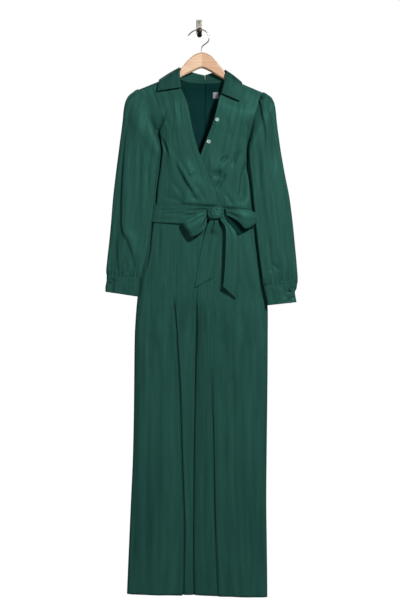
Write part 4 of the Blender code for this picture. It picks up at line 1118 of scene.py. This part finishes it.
# %% The legs' folds
LEG_FOLDS_R = (
    (-143, -640, -158, -1590, 1.6, 5, 0.4, 0.15, 0.03),
    (-152, -700, -170, -1590, -1.2, 5, 0, 0.2, 0.03),
    (-128, -620, -140, -1590, -1.1, 6, 0, 0.2, 0.03),
    (-96, -700, -104, -1590, 1.8, 5.5, -0.4, 0.2, 0.03),
    (-112, -800, -122, -1590, 1, 5, 0.3, 0.3, 0.03),
    (-178, -760, -192, -1590, 1.2, 6, 0.3, 0.3, 0.03),
    (-118, -570, -121, -700, 1.4, 5, 0.4, 0.1, 0.6), (-72, -568, -75, -720, -1, 3, 0, 0.1, 0.5),
    (-46, -566, -44, -700, 1.2, 5, -0.4, 0.1, 0.6), (-40, -900, -38, -1300, 1.4, 4, 0.3, 0.3, 0.4),
)
BESIDE_SLEEVE_R = ((-140, -545, -148, -634, -158, -690, 5, 3.4, 0, 0.05, 0.25),)
BESIDE_SLEEVE_L = ((149, -560, 160, -650, 168, -720, 1.6, 3, 0, 0.05, 0.1),)
TUCK_GROOVE = (
    (-78, -740, -76, -798, -71, -866, -62, -1017, -57, -1191, -49, -1412, -52, -1605,
     6, 2.5, 0, 0.08, 0.01),
)
LEG_FOLDS_L = (
    (30, -1090, 32, -1198, 36, -1510, 3.4, 2.2, 0, 0.1, 0.35),
    (60, -720, 72, -1590, 1.7, 5.5, 0.4, 0.2, 0.03), (40, -860, 52, -1590, -1.1, 5, 0, 0.2, 0.03),
    (92, -700, 112, -1590, -1.1, 8, 0, 0.2, 0.03), (80, -800, 98, -1590, 1.1, 5.5, 0.3, 0.3, 0.03),
    (128, -760, 140, -1590, 1.3, 6.5, -0.3, 0.3, 0.03),
    (158, -800, 164, -1590, 1.2, 6, 0.3, 0.3, 0.03), (106, -857, 148, -1053, -1.8, 15, 0, 0.4, 0.4),
    (4, -900, 8, -1590, 1.2, 5.5, 0.3, 0.3, 0.03), (108, -580, 112, -700, 1.4, 5, -0.4, 0.1, 0.6),
    (134, -580, 142, -720, 1.2, 5, 0.3, 0.1, 0.6),
)
LEG_FOLDS_BACK = (
    (-132, -570, -150, -1590, 1.8, 7, 0.4, 0.1, 0.03),
    (-96, -572, -100, -1590, 1.8, 7, -0.4, 0.1, 0.03),
    (-52, -572, -58, -1500, 1.6, 7, 0.4, 0.1, 0.1),
    (-168, -700, -184, -1590, 1.4, 7, 0.3, 0.3, 0.03),
    (-114, -640, -126, -1590, -1.4, 9, 0, 0.2, 0.03), (30, -574, 36, -1400, 1.5, 7, 0.4, 0.1, 0.3),
    (70, -574, 84, -1590, 1.8, 7, -0.4, 0.1, 0.03), (112, -576, 128, -1590, 1.6, 7, 0.4, 0.1, 0.03),
    (92, -660, 106, -1590, -1.3, 9, 0, 0.2, 0.03), (148, -700, 160, -1590, 1.4, 7, 0.3, 0.3, 0.03),
)
# the hem's stitches: height over the edge, depth and width of their groove
HEM_DEEP, HEM_GROOVE, HEM_STITCH = 24.0, 0.35, 1.6


def leg_press(table, seed):
    """Long folds, slow waves and, an inch above the hem, the faint line of the hem's stitches."""
    def height(u, w, x, y, z):
        total = pressed(x, z, table) + slack(x, z, 22.0, 9.0, seed, 0.9)
        total += slack(x, z, 60.0, 2.2, seed + 5, 0.8) + ribs(x, z, seed, 0.4)
        rise = z - hem_height(x)
        at_inseam = smoothstep((1.0 - u) * 20.0)
        hem = -HEM_GROOVE * math.exp(-(((rise - HEM_DEEP) / HEM_STITCH) ** 2))
        hem = hem * smoothstep(u * 20.0) * at_inseam
        calm = smoothstep(w * 26.0) * smoothstep(u * 9.0) * at_inseam
        return total * calm + hem
    return height


for name, table, seed in (("right", LEG_FOLDS_R + TUCK_GROOVE + BESIDE_SLEEVE_R, 51.0),
                          ("left", LEG_FOLDS_L + BESIDE_SLEEVE_L, 61.0)):
    sew("trouser_front_" + name, leg_rows(SIDES[name], -1), 160, 140, BODY_CLOTH,
        towards(0, -1, 0), folds=leg_press(table, seed))
    sew("trouser_back_" + name, leg_rows(SIDES[name], 1), 84, 150, BODY_CLOTH,
        towards(0, 1, 0), folds=leg_press(LEG_FOLDS_BACK, seed + 2))

# %% [markdown]
# ## The sash and its bow
#
# The sash is a long strip of doubled satin. It goes once round the waist and is tied in front, off
# centre. Where it runs into the knot it is squeezed to less than its width, so it creases along
# its length. A tied bow could be simulated, but the knot decides every layer's place, so the bow
# is built as it is tied: band, loops, knot, tails.

# %% The sash round the waist
WAIST_HALF = 148.0
SASH_HALF = 24.0
SASH_LIFT_SIDE = 4.2
SASH_LIFT = 6.6
SASH_GATHERED = 15.0
SASH_RISE = 11.0         # how far its middle rises into the knot
GATHER_REACH = 75.0
LIFT_REACH, LIFT_RUN = 65.0, 55.0
KNOT = (36, -531)
KNOT_SIZE = (21.5, 9.5, 17.5)
SASH_FOLDS = (
    (-70, -541, 14, -533, 3.2, 2.2, -0.5, 0.5, 0.08),
    (-50, -526, 16, -525, 3, 2.2, -0.5, 0.5, 0.08),
    (-120, -532, -40, -534, 1.8, 2.6, -0.4, 0.4, 0.4), (-20, -519, 16, -520, 2, 2, 0.4, 0.5, 0.1),
    (-140, -547, -66, -550, 1.6, 2.6, -0.4, 0.4, 0.4),
    (112, -548, 58, -534, 2.6, 2.8, 0.4, 0.5, 0.08),
    (102, -532, 58, -524, 2.2, 2.6, -0.4, 0.5, 0.08),
    (142, -542, 100, -540, 1.6, 2.8, 0.3, 0.4, 0.4),
    (-136, -522, -60, -524, 1.4, 2.4, -0.3, 0.4, 0.4),
)


def sash_lift(x):
    return blend(SASH_LIFT, SASH_LIFT_SIDE, smoothstep((abs(x) - LIFT_REACH) / LIFT_RUN))


def sash_rows(start, stop, face, count):
    rows = []
    for v in (0.0, 0.33, 0.67, 1.0):
        row = []
        for k in range(count + 1):
            u = k / count
            share = (1 - math.cos(math.pi * u)) / 2 if face > 0 else columns_share(u)
            x = blend(start, stop, share)
            narrow = smoothstep(1 - abs(x - KNOT[0]) / GATHER_REACH) if face < 0 else 0.0
            half = blend(SASH_HALF, SASH_GATHERED, narrow)
            z = waist_height(x) + SASH_RISE * narrow + half * (1 - 2 * v)
            wide = body_half(x, z) / body_half(x, WAIST)
            point = shell(x * blend(1.0, wide, (abs(x) / WAIST_HALF) ** 2), z, sash_lift(x), face)
            row.append(keep_side(point, face))
        rows.append(row)
    return rows


def sash_press(seed):
    def height(u, w, x, y, z):
        total = pressed(x, z, SASH_FOLDS) if y < MID_Y else 0.0
        return (total + slack(x / 3.0, z, 9.0, 1.0, seed, 0.5)) * within(w, 9.0)
    return height


waist_right, waist_left = -body_half(-1, WAIST), body_half(1, WAIST)
for name, start, stop, face, count, fine in (
        ("sash_front_right", waist_right, KNOT[0] - 1.0, -1, 9, 110),
        ("sash_front_left", waist_left, KNOT[0] + 1.0, -1, 8, 80),
        ("sash_back", waist_right, waist_left, 1, 18, 120)):
    sew(name, sash_rows(start, stop, face, count), fine, 26, DOUBLE_CLOTH, towards(0, face, 0),
        wall=1.0, folds=sash_press(71.0 + count))

# %% The loops
# upper x, z, lower x, z, height of the front layer over the sash, its lower edge's way in
LOOP_R = (
    (11, -520, 13, -544, 3.4, 0, 0), (2, -525, 10, -562, 9, 0, 1), (-16, -534, 4, -580, 14, 0, 2),
    (-31, -547, -8, -592, 15.5, 0, 2), (-43, -556, -20, -598, 15.5, 0, 1),
)
LOOP_L = (
    (59, -519, 60, -541, 3.4, 2, 3), (72, -520, 70, -558, 12, 7, 12),
    (92, -521, 84, -580, 18, 10, 16), (117, -525, 97, -591, 18, 9, 15),
    (138, -534, 126, -573, 13, 5, 9),
)
# round the tip: share of the height, share of the way out past the last row, and in
LOOP_TURN = ((0.62, 1.0, 0.7), (0.3, 0.9, 0.3))
LOOP_BACK = 0.5
LOOP_SWELL = 0.3
LOOP_FOLDS = (
    (14, -526, -42, -560, 4, 5, 0.3, 0.1, 0.4), (12, -536, -24, -596, -2.6, 4.6, 0, 0.1, 0.2),
    (12, -520, -20, -538, 1.8, 2.8, 0.4, 0.1, 0.5), (14, -540, 2, -580, 2.6, 3, -0.3, 0.1, 0.4),
    (58, -526, 112, -552, 3.2, 4, -0.3, 0.1, 0.4), (58, -532, 92, -566, 2.2, 3.4, 0.4, 0.1, 0.4),
    (62, -520, 110, -530, 1.6, 3, -0.4, 0.1, 0.5),
)


def over_sash(x, z, lift):
    return shell(x, z, sash_lift(x) + lift, -1)


def loop_rows(table, tip):
    """Rows out along a loop's front layer, round its tip, and back along the layer behind."""
    stations = resample(table, 7)
    last = stations[-1]
    full = last[4] + LOOP_BACK
    layers = [(row, row[4] + LOOP_BACK, 0.0, 1.0) for row in stations]
    layers += [(last, blend(LOOP_BACK, full, up), push, inset) for up, push, inset in LOOP_TURN]
    layers += [(row, LOOP_BACK, 0.0, 0.0) for row in reversed(stations)]
    rows = []
    for (upper_x, upper_z, lower_x, lower_z, _, in_x, in_z), lift, push, inset in layers:
        line = []
        for v in (0.0, 0.2, 0.5, 0.8, 1.0):
            x = blend(upper_x, lower_x + in_x * inset, v) + tip[0] * push
            z = blend(upper_z, lower_z + in_z * inset, v) + tip[1] * push
            swell = math.sin(math.pi * v) * (lift - LOOP_BACK) * LOOP_SWELL
            line.append(over_sash(x, z, lift + swell))
        rows.append(line)
    return rows


def loop_press(u, w, x, y, z):
    """Creases from the knot, on the loop's front layer only."""
    front = smoothstep((0.46 - w) * 12.0) * smoothstep(w * 14.0)
    return pressed(x, z, LOOP_FOLDS) * front * within(u, 9.0)


# each loop's inside is the darkened wrong side, which is painted shade inside the loop
for name, table, tip in (("right", LOOP_R, (-8.0, -3.0)), ("left", LOOP_L, (4.0, -1.0))):
    rows = loop_rows(table, tip)
    front_y = middle_of(rows[3]).y + 4 * MM
    sew("sash_loop_" + name, rows, 34, 110, LOOP_CLOTH,
        lambda centre, y=front_y: Vector((0, -1 if centre.y < y else 0.5, 0)),
        wall=0.9, folds=loop_press)

# %% The tails
# left x, z, right x, z, height over the trousers
TAIL_R = (
    (23, -545.4, 40, -546.4, 11), (13, -570, 46, -570, 7), (6, -598, 49, -598, 2.2),
    (-3, -640, 46, -632, 0.8), (-12, -692, 43, -668, 0.7), (-20, -739, 28, -711, 3),
)
TAIL_L = (
    (44, -546.2, 54, -543.6, 11), (57, -568, 80, -572, 17), (58.5, -600, 93, -600, 20),
    (57.5, -648, 94.5, -655, 20), (56, -695, 94.5, -710, 19), (53, -736, 91, -769, 17),
)
TAIL_FOLDS = (
    (38, -549, 24, -590, -9, 3, -1.8, 0.12, 0.4), (36, -548, 36, -620, 1.2, 3, -0.4, 0.1, 0.6),
    (26, -550, 8, -640, 1.2, 4, 0.4, 0.2, 0.5), (20, -600, 12, -690, 1, 6, 0.3, 0.3, 0.4),
    (62, -560, 74, -650, 1.6, 3.2, 0.3, 0.1, 0.5), (52, -556, 84, -640, 1.1, 4, -0.4, 0.2, 0.5),
    (76, -620, 80, -720, 1, 6, 0.3, 0.3, 0.4),
)
TAIL_RIPPLE, TAIL_WAVES = 1.2, 1.2


def tail_rows(table, tilt):
    rows = []
    for left_x, left_z, right_x, right_z, lift in resample(table, 11):
        line = []
        for k in range(6):
            v = k / 5
            ripple = min(TAIL_RIPPLE, 0.3 * lift) * math.sin(2 * math.pi * v * TAIL_WAVES)
            line.append(shell(blend(left_x, right_x, v), blend(left_z, right_z, v),
                              lift * blend(1.0, tilt, v) + CLOTH + ripple, -1))
        rows.append(line)
    return rows


def tail_press(u, w, x, y, z):
    total = pressed(x, z, TAIL_FOLDS) + slack(x, z, 18.0, 3.0, 83.0, 0.4)
    return total * within(u, 8.0) * smoothstep(w * 20.0)


# the tilt is the right edge's height as a share of the left's
for name, table, tilt in (("right", TAIL_R, 1.0), ("left", TAIL_L, 0.35)):
    sew("sash_tail_" + name, tail_rows(table, tilt), 46, 120, DOUBLE_CLOTH, towards(0, -1, 0),
        wall=0.9, folds=tail_press)

# %% The knot
KNOT_FOLDS = (
    (54, -516, 38, -511, 24, -516, 19, -530, 24, -542, 2.2, 2.2, 0.5, 0.1, 0.15),
    (56, -530, 30, -520, 1.7, 2, -0.5, 0.2, 0.4), (54, -538, 34, -531, 1.5, 2, 0.5, 0.2, 0.4),
    (44, -520, 28, -536, 1.1, 2, 0.4, 0.3, 0.3),
)
KNOT_RINGS, KNOT_ROUND, KNOT_TOP = 15, 26, 86.0
# powers below 1, which make a round shape squarer
SQUARE_UP, SQUARE_RING, SQUARE_ROUND = 0.9, 0.5, 0.8


def rounded(wave, power):
    return math.copysign(abs(wave) ** power, wave)


def knot_rows():
    """A cushion of rings round the vertical, squarer than a ball."""
    wide, deep, high = KNOT_SIZE
    centre_y = over_sash(*KNOT, 0.0)[1] - deep * 0.9 - 0.4
    rows = []
    for k in range(KNOT_RINGS):
        tilt = math.radians(blend(KNOT_TOP, -KNOT_TOP, k / (KNOT_RINGS - 1)))
        ring = math.cos(tilt) ** SQUARE_RING
        z = KNOT[1] + high * rounded(math.sin(tilt), SQUARE_UP)
        turns = [2 * math.pi * n / KNOT_ROUND for n in range(KNOT_ROUND)]
        rows.append([(KNOT[0] + rounded(math.cos(turn), SQUARE_ROUND) * wide * ring,
                      centre_y - rounded(math.sin(turn), SQUARE_ROUND) * deep * ring, z)
                     for turn in turns])
    return rows


def knot_press(u, w, x, y, z):
    return pressed(x, z, KNOT_FOLDS) * smoothstep(turned(u)[1] * 2.5)


rows = knot_rows()
sew("sash_knot", rows, 110, 54, DOUBLE_CLOTH, outwards(rows), closed=True, wall=0.8,
    folds=knot_press)

# %% [markdown]
# ## Buttons, label, hook and eye
#
# Small trim tells the eye how large everything is. A shirt button is a disc with a raised rim and
# four holes, sewn on with a crossed thread; the cuffs' buttons are covered in the satin. The
# profile of each is spun round its middle.

# %% The buttons


def pair(dark, light, start=0.3):
    """Two tones for a material's noise to drift between."""
    return ((start, dark), (0.7, light))


PEARL, *_ = toned("pale green button", pair((0.3, 0.46, 0.39), (0.44, 0.6, 0.53)), (160,) * 3, 3.0,
                  rough_range=(0.22, 0.34), Coat_Weight=0.3)
BUTTON_HOLE, *_ = toned("shade in a button's hole", pair((0.02, 0.03, 0.026), (0.04, 0.06, 0.05)),
                        (900,) * 3, 2.0)
THREAD, *_ = toned("green thread", pair((0.012, 0.05, 0.04), (0.025, 0.09, 0.07)), (1500,) * 3, 2.0,
                   Roughness=0.6)


def facing(spot, look):
    """Where a part made flat on the floor has to go to sit on a spot and look along a line."""
    return Matrix.Translation(spot) @ look.to_track_quat("Z", "Y").to_matrix().to_4x4()


def spun(name, profile, segments, at_place, finish, *nodes):
    """Turn a profile of (radius, height) in mm round an axis that at_place sets."""
    bm = bmesh.new()
    verts = [bm.verts.new((r * MM, 0.0, h * MM)) for r, h in profile]
    edges = [bm.edges.new(ends) for ends in zip(verts, verts[1:])]
    bmesh.ops.spin(bm, geom=verts + edges, cent=(0, 0, 0), axis=(0, 0, 1), angle=2 * math.pi,
                   steps=segments, use_merge=True, use_duplicate=False)
    bmesh.ops.remove_doubles(bm, verts=bm.verts, dist=1e-7)
    bmesh.ops.recalc_face_normals(bm, faces=bm.faces)
    bmesh.ops.transform(bm, matrix=at_place, verts=bm.verts)
    fasten(name, bm, finish, *nodes)


BUTTON_PROFILE = (
    (0, 1.25), (2.9, 1.25), (3.5, 1.5), (4.2, 2.35), (4.7, 2.6), (5.15, 2.45), (5.4, 1.9),
    (5.4, 0.9), (5, 0.25), (4.2, 0), (0, 0),
)
BUTTON_STAND = 0.6
HOLE_RING, HOLE_HEIGHT = 1.45, 1.28
THREAD_RADIUS, THREAD_LENGTH, THREAD_HEIGHT = 0.26, 3.2, 1.52


def shirt_button(name, x, z):
    seat_y = shell(x, z, 0.0, -1)[1]
    spot = facing(place((x, seat_y - BUTTON_STAND, z)), Vector((0.0, -1.0, 0.0)))
    spun(name, BUTTON_PROFILE, 40, spot, ("button", PEARL), name)
    holes, threads = bmesh.new(), bmesh.new()
    for turn in (45, 135, 225, 315):
        a = math.radians(turn)
        across, up = HOLE_RING * math.cos(a) * MM, HOLE_RING * math.sin(a) * MM
        here = spot @ Matrix.Translation((across, up, HOLE_HEIGHT * MM))
        bmesh.ops.create_cone(holes, cap_ends=True, segments=14, radius1=0.62 * MM,
                              radius2=0.55 * MM, depth=0.12 * MM, matrix=here)
    for turn in (45, 135):
        lie = Matrix.Rotation(math.radians(turn), 4, "Z") @ Matrix.Rotation(math.pi / 2, 4, "Y")
        here = spot @ Matrix.Translation((0, 0, (THREAD_HEIGHT + turn / 900) * MM)) @ lie
        bmesh.ops.create_cone(threads, cap_ends=True, segments=10, radius1=THREAD_RADIUS * MM,
                              radius2=THREAD_RADIUS * MM, depth=THREAD_LENGTH * MM, matrix=here)
    fasten(name + "_holes", holes, ("button", BUTTON_HOLE))
    fasten(name + "_thread", threads, ("button", THREAD))


shirt_button("button_upper", 42.0, -272.0)
shirt_button("button_lower", 18.5, -333.0)

COVERED_PROFILE = (
    (0, 2.4), (1.4, 2.3), (2.7, 1.95), (3.6, 1.35), (4.1, 0.7), (4.2, 0.25), (3.6, 0), (0, 0),
)


def cuff_button(name, table, share):
    upper, lower = resample(table, 4)[1:3]
    here = Vector(sleeve_point(upper, share))
    across = Vector(sleeve_point(upper, share + 0.01)) - Vector(sleeve_point(upper, share - 0.01))
    normal = across.cross(Vector(sleeve_point(lower, share)) - here)
    normal = (-normal if normal.y > 0 else normal).normalized()
    spun(name, COVERED_PROFILE, 32, facing(place(here + normal * 0.9), normal),
         ("satin_trim", SATIN_DOUBLE), name)


cuff_button("cuff_button_right", CUFF_R, 0.12)
cuff_button("cuff_button_left", CUFF_L, 0.14)
print("buttons: 2 shirt buttons of", 2 * max(BUTTON_PROFILE)[0], "mm, 2 covered ones of",
      2 * max(COVERED_PROFILE)[0], "mm")

# %% The label
LABEL_CLOTH, tree, shader = toned("label ribbon", pair((0.22, 0.22, 0.28), (0.3, 0.3, 0.36)),
                                  (300.0, 300.0, 1.0), 2.0, source="UV", Roughness=0.6)
weave = twill_of(tree, 900.0, 0.6)
tree.links.new(bump_of(tree, weave.outputs["Fac"], 0.3, 0.0001), shader.inputs["Normal"])

LABEL_X, LABEL_Z = (31.0, 47.0), (-189.0, -206.0)
rows = [[shell(blend(*LABEL_X, u / 3), blend(*LABEL_Z, v / 3), -CLOTH - 0.6, 1) for u in range(4)]
        for v in range(4)]
sew("label", rows, 16, 17, ("label_cloth", LABEL_CLOTH, LABEL_CLOTH), towards(0, -1, 0), wall=0.35,
    folds=lambda u, w, *_: 0.25 * math.sin(w * 6.0) * smoothstep(w * 5))

# %% [markdown]
# ## Bent wire
#
# The hook and eye and the hanger's hook are bent wire. A wire is a circle that is extruded from
# point to point along its path and turned at each step, so the bends stay round. A curve with a
# bevel gives the same shape; the extrusion keeps everything a mesh.

# %% Wire
STEEL, *_ = toned("steel wire", pair((0.3, 0.29, 0.26), (0.5, 0.49, 0.45)), (700, 700, 60), 3.0,
                  rough_range=(0.22, 0.36), Metallic=1.0)


def wire(bm, points, radius, sides=16):
    """Extrude a circle through points of a path in the frame's metres."""
    heads = [b - a for a, b in zip(points, points[1:])]
    looks = [heads[0]] + [a + b for a, b in zip(heads, heads[1:])] + [heads[-1]]
    frames = [facing(p, look) for p, look in zip(points, looks)]
    start = bmesh.ops.create_circle(bm, cap_ends=True, segments=sides, radius=radius * MM,
                                    matrix=frames[0])
    edges = list({e for v in start["verts"] for e in v.link_edges})
    for before, after in zip(frames, frames[1:]):
        grown = bmesh.ops.extrude_edge_only(bm, edges=edges)["geom"]
        verts = [g for g in grown if isinstance(g, bmesh.types.BMVert)]
        edges = [g for g in grown if isinstance(g, bmesh.types.BMEdge) and g.is_boundary]
        bmesh.ops.transform(bm, matrix=after @ before.inverted(), verts=verts)
    bmesh.ops.edgeloop_fill(bm, edges=edges)
    bmesh.ops.recalc_face_normals(bm, faces=bm.faces)


# x, z
HANGER_WIRE = (
    (-1, -79.5), (-1, -70), (1, -62.5), (9, -56), (17, -49), (19.6, -40), (17.5, -30),
    (11.5, -21.5), (2, -16.4), (-7, -15.4), (-17, -16.8), (-27, -21.5), (-35, -28), (-38.5, -33),
)
WIRE_RADIUS = 1.7
bm = bmesh.new()
wire(bm, [place((x, MID_Y, z)) for x, z in resample(HANGER_WIRE, 110)], WIRE_RADIUS, 20)
fasten("hanger_hook", bm, ("steel_wire", STEEL), "hanger_hook")

HOOK_PATH = ((-0.8, -155), (-0.8, -146), (-0.5, -143.6), (0.2, -143), (0.8, -143.8), (0.8, -149))
EYE_PATH = ((-0.9, -155.2), (-0.3, -154.2), (0.3, -154.2), (0.9, -155.2))
nape_y = shell(CENTRE_BACK, -165.5, 0.0, 1)[1] - 2.6
bm = bmesh.new()
for path, radius in ((HOOK_PATH, 0.42), (EYE_PATH, 0.36)):
    wire(bm, [place((CENTRE_BACK + x, nape_y, z)) for x, z in resample(path, 30)], radius, 12)
fasten("hook_and_eye", bm, ("steel_wire", STEEL), "hook_and_eye")
print("the hanger's wire:", round(path_length([Vector(p) for p in HANGER_WIRE])), "mm")

# %% [markdown]
# ## The wooden hanger
#
# The hanger is cut from two pieces of pale wood that meet under the hook, planed to fully rounded
# edges and varnished. The right piece gets a darker, warmer copy of the wood, which is painted
# shade on that half. Its outline is a table of top and underside, and each section is a board
# with two half circles. The grain runs along each arm.

# %% The hanger
WOOD_PALE = ((0.3, (0.61, 0.385, 0.235)), (0.52, (0.7, 0.485, 0.32)), (0.78, (0.77, 0.58, 0.41)))
# the right half's tones: a darker, warmer copy of the pale wood, painted shade
WOOD_SHADE_TONES = ((0.3, (0.5, 0.29, 0.165)), (0.52, (0.59, 0.36, 0.215)), (0.78, (0.65, 0.42, 0.265)))


def wood(name, tones, lean):
    return toned(name, tones, (18.0, 260.0, 260.0), 6.0, 0.62, turn=(0.0, lean, 0.0),
                 rough_range=(0.34, 0.48), bump=(0.2, 0.0003), Coat_Weight=0.35,
                 Coat_Roughness=0.25)[0]


PALE_WOOD = wood("pale wood", WOOD_PALE, 0.5)
WOOD_PAINTED_SHADE = wood("pale wood, darkened as painted shade", WOOD_SHADE_TONES, -0.5)

HANGER_HALF = 6.0        # half of the board's thickness
# x, top, underside
HANGER = (
    (-173, -186, -203), (-165, -181.2, -204), (-140, -170.8, -192), (-110, -158.4, -176),
    (-84, -147.6, -164), (-72, -142.7, -158), (-66, -137.5, -154.5), (-60, -127, -151),
    (-50, -113, -145), (-38, -99.5, -139.5), (-24, -87.5, -133), (-9, -80.6, -126),
    (0, -79.8, -124.5), (9, -80.8, -127), (24, -88.5, -134.5), (36, -100, -142), (50, -117, -149.5),
    (62, -131.5, -157), (67, -144.5, -160), (73, -152.8, -163.5), (88, -159.3, -172),
    (110, -168.8, -184), (140, -181.7, -199), (158, -189.4, -209), (165, -193.4, -208),
)


def hanger_rows():
    rows = []
    for x, top, under in HANGER:
        radius = min(HANGER_HALF, (top - under) / 2 - 0.2)
        rows.append([(x, mid(x) - way * radius * math.cos(a), centre + way * radius * math.sin(a))
                     for centre, way in ((top - radius, 1), (under + radius, -1))
                     for a in (math.pi * k / 8 for k in range(9))])
    return rows


bm = bmesh.new()
lay_grid(bm, hanger_rows(), 54, 150, True)
bmesh.ops.remove_doubles(bm, verts=bm.verts, dist=1e-6)
bmesh.ops.edgeloop_fill(bm, edges=[e for e in bm.edges if e.is_boundary])
bmesh.ops.recalc_face_normals(bm, faces=bm.faces)
# faces right of the middle take the darker wood, painted shade on the hanger's right half
for face in bm.faces:
    face.material_index = 1 if face.calc_center_median().x > place((0, 0, 0)).x else 0
hanger = fasten("hanger", bm, ("pale_wood", PALE_WOOD, WOOD_PAINTED_SHADE), "hanger")
print("hanger:", len(hanger.data.polygons), "faces")

# %% [markdown]
# ## The wall hook
#
# A rectangular plate of grey metal carries a short round peg that ends in a ball, so that a
# hanger can't slide off. A screw holds the plate.

# %% The wall hook
GREY_TONES = pair((0.24, 0.23, 0.2), (0.36, 0.34, 0.3), 0.35)
BRONZE_TONES = pair((0.045, 0.034, 0.024), (0.11, 0.085, 0.06), 0.35)
GREY_METAL, *_ = toned("grey metal", GREY_TONES, (90,) * 3, 5.0, 0.6,
                       rough_range=(0.34, 0.52), Metallic=0.85)
DARK_METAL, *_ = toned("dark bronzed metal", BRONZE_TONES, (120,) * 3, 5.0, 0.6,
                       rough_range=(0.26, 0.44), Metallic=0.9)

PLATE = (17, 4, 40)
PEG_X, PEG_Z, PEG_RADIUS, PEG_REACH, BALL_RADIUS = 1.0, -22.7, 5.2, 60.0, 8.0
SCREW_Z = 12.5
SCREW_PROFILE = (
    (0, 0.5), (0.5, 0.5), (0.52, 1.15), (2, 1), (2.9, 0.45), (3.1, -0.3), (0, -0.3),
)

bm = bmesh.new()
bmesh.ops.create_cube(bm, size=MM)
bmesh.ops.scale(bm, vec=PLATE, verts=bm.verts)
bmesh.ops.translate(bm, vec=(0, -PLATE[1] * MM / 2, 0), verts=bm.verts)
front_edges = [e for e in bm.edges if all(v.co.y < -PLATE[1] * MM / 2 for v in e.verts)]
bmesh.ops.bevel(bm, geom=front_edges, offset=0.9 * MM, segments=3, profile=0.5, affect="EDGES",
                material=-1)
plate = fasten("wall_hook", bm, ("grey_metal", GREY_METAL), "wall_hook")
for face in plate.data.polygons:
    face.use_smooth = False

ball_start = math.asin(PEG_RADIUS / BALL_RADIUS)
ball_middle = PEG_REACH + BALL_RADIUS * math.cos(ball_start)
peg_profile = [(0, 2), (PEG_RADIUS + 2, 2), (PEG_RADIUS + 2, 4), (PEG_RADIUS + 0.8, 5),
               (PEG_RADIUS, 6), (PEG_RADIUS, 40), (PEG_RADIUS, PEG_REACH - 0.4)]
for k in range(17):
    a = blend(ball_start, math.pi, k / 16)
    peg_profile.append((BALL_RADIUS * math.sin(a), ball_middle - BALL_RADIUS * math.cos(a)))


def out_of_wall(x, y, z):
    """The place of a spun part whose axis points away from the wall."""
    return Matrix.Translation((x * MM, y * MM, z * MM)) @ Matrix.Rotation(math.pi / 2, 4, "X")


spun("wall_hook_peg", peg_profile, 40, out_of_wall(PEG_X, 0, PEG_Z), ("grey_metal", DARK_METAL))
spun("wall_hook_screw", SCREW_PROFILE, 28, out_of_wall(0, -PLATE[1], SCREW_Z),
     ("grey_metal", GREY_METAL))
print("wall hook: plate", PLATE, "peg", PEG_REACH, "mm long")

# %% [markdown]
# ## Floor and light
#
# Satin is only as good as what it reflects. A soft lamp high on the right gives the folds their
# highlights and their narrow dark sides; a weaker one on the left keeps the shadows readable, and
# two behind the garment light its back. The garment hangs from a wall hook, so the pale floor lies
# well below its hem. The surround is plain white to look at but gives little light, because a
# strong surround would fill every fold.

# %% Floor
PALE_FLOOR, *_ = toned("pale floor", pair((0.6,) * 3, (0.64,) * 3), (2, 2, 2), 2.0, Roughness=0.9)
FLOOR_Z, FLOOR_HALF = -2.2, (3.0, 2.2, 1.0)
bm = bmesh.new()
bmesh.ops.create_grid(bm, x_segments=1, y_segments=1, size=1.0)
bmesh.ops.scale(bm, vec=FLOOR_HALF, verts=bm.verts)
bmesh.ops.translate(bm, vec=(0.0, -0.2, FLOOR_Z), verts=bm.verts)
make_mesh("floor", bm, ("floor", PALE_FLOOR))
print("floor at", FLOOR_Z, "m")

# %% Lights
SUBJECT = Vector((0.0, -0.05, -0.75))


def soft_lamp(name, location, size, power):
    data = bpy.data.lights.new(name, "AREA")
    data.shape = "RECTANGLE"
    data.size, data.size_y = size
    data.energy = power
    lamp = bpy.data.objects.new(name, data)
    lamp.location = location
    lamp.rotation_euler = (SUBJECT - Vector(location)).to_track_quat("-Z", "Y").to_euler()
    bpy.context.scene.collection.objects.link(lamp)


soft_lamp("key lamp", (1.3, -2.6, 1.0), (0.4, 0.4), 117.0)
soft_lamp("fill lamp", (-1.8, -3.0, -0.3), (1.2, 1.6), 17.0)
soft_lamp("rim lamp", (-1.6, 1.2, 1.2), (1.0, 1.6), 20.0)
soft_lamp("back lamp", (1.6, 3.0, 0.9), (0.8, 0.8), 70.0)

world = bpy.data.worlds.new("studio")
bpy.context.scene.world = world
world.use_nodes = True
tree = world.node_tree
surround = tree.nodes["Background"]
surround.inputs["Color"].default_value = (1.0, 1.0, 1.0, 1.0)
# what the camera sees of the surround, and the light that it gives
SEEN, GIVEN = 1.0, 0.02
rays = tree.nodes.new("ShaderNodeLightPath")
strength = range_of(tree, rays.outputs["Is Camera Ray"], GIVEN, SEEN)
tree.links.new(strength, surround.inputs["Strength"])
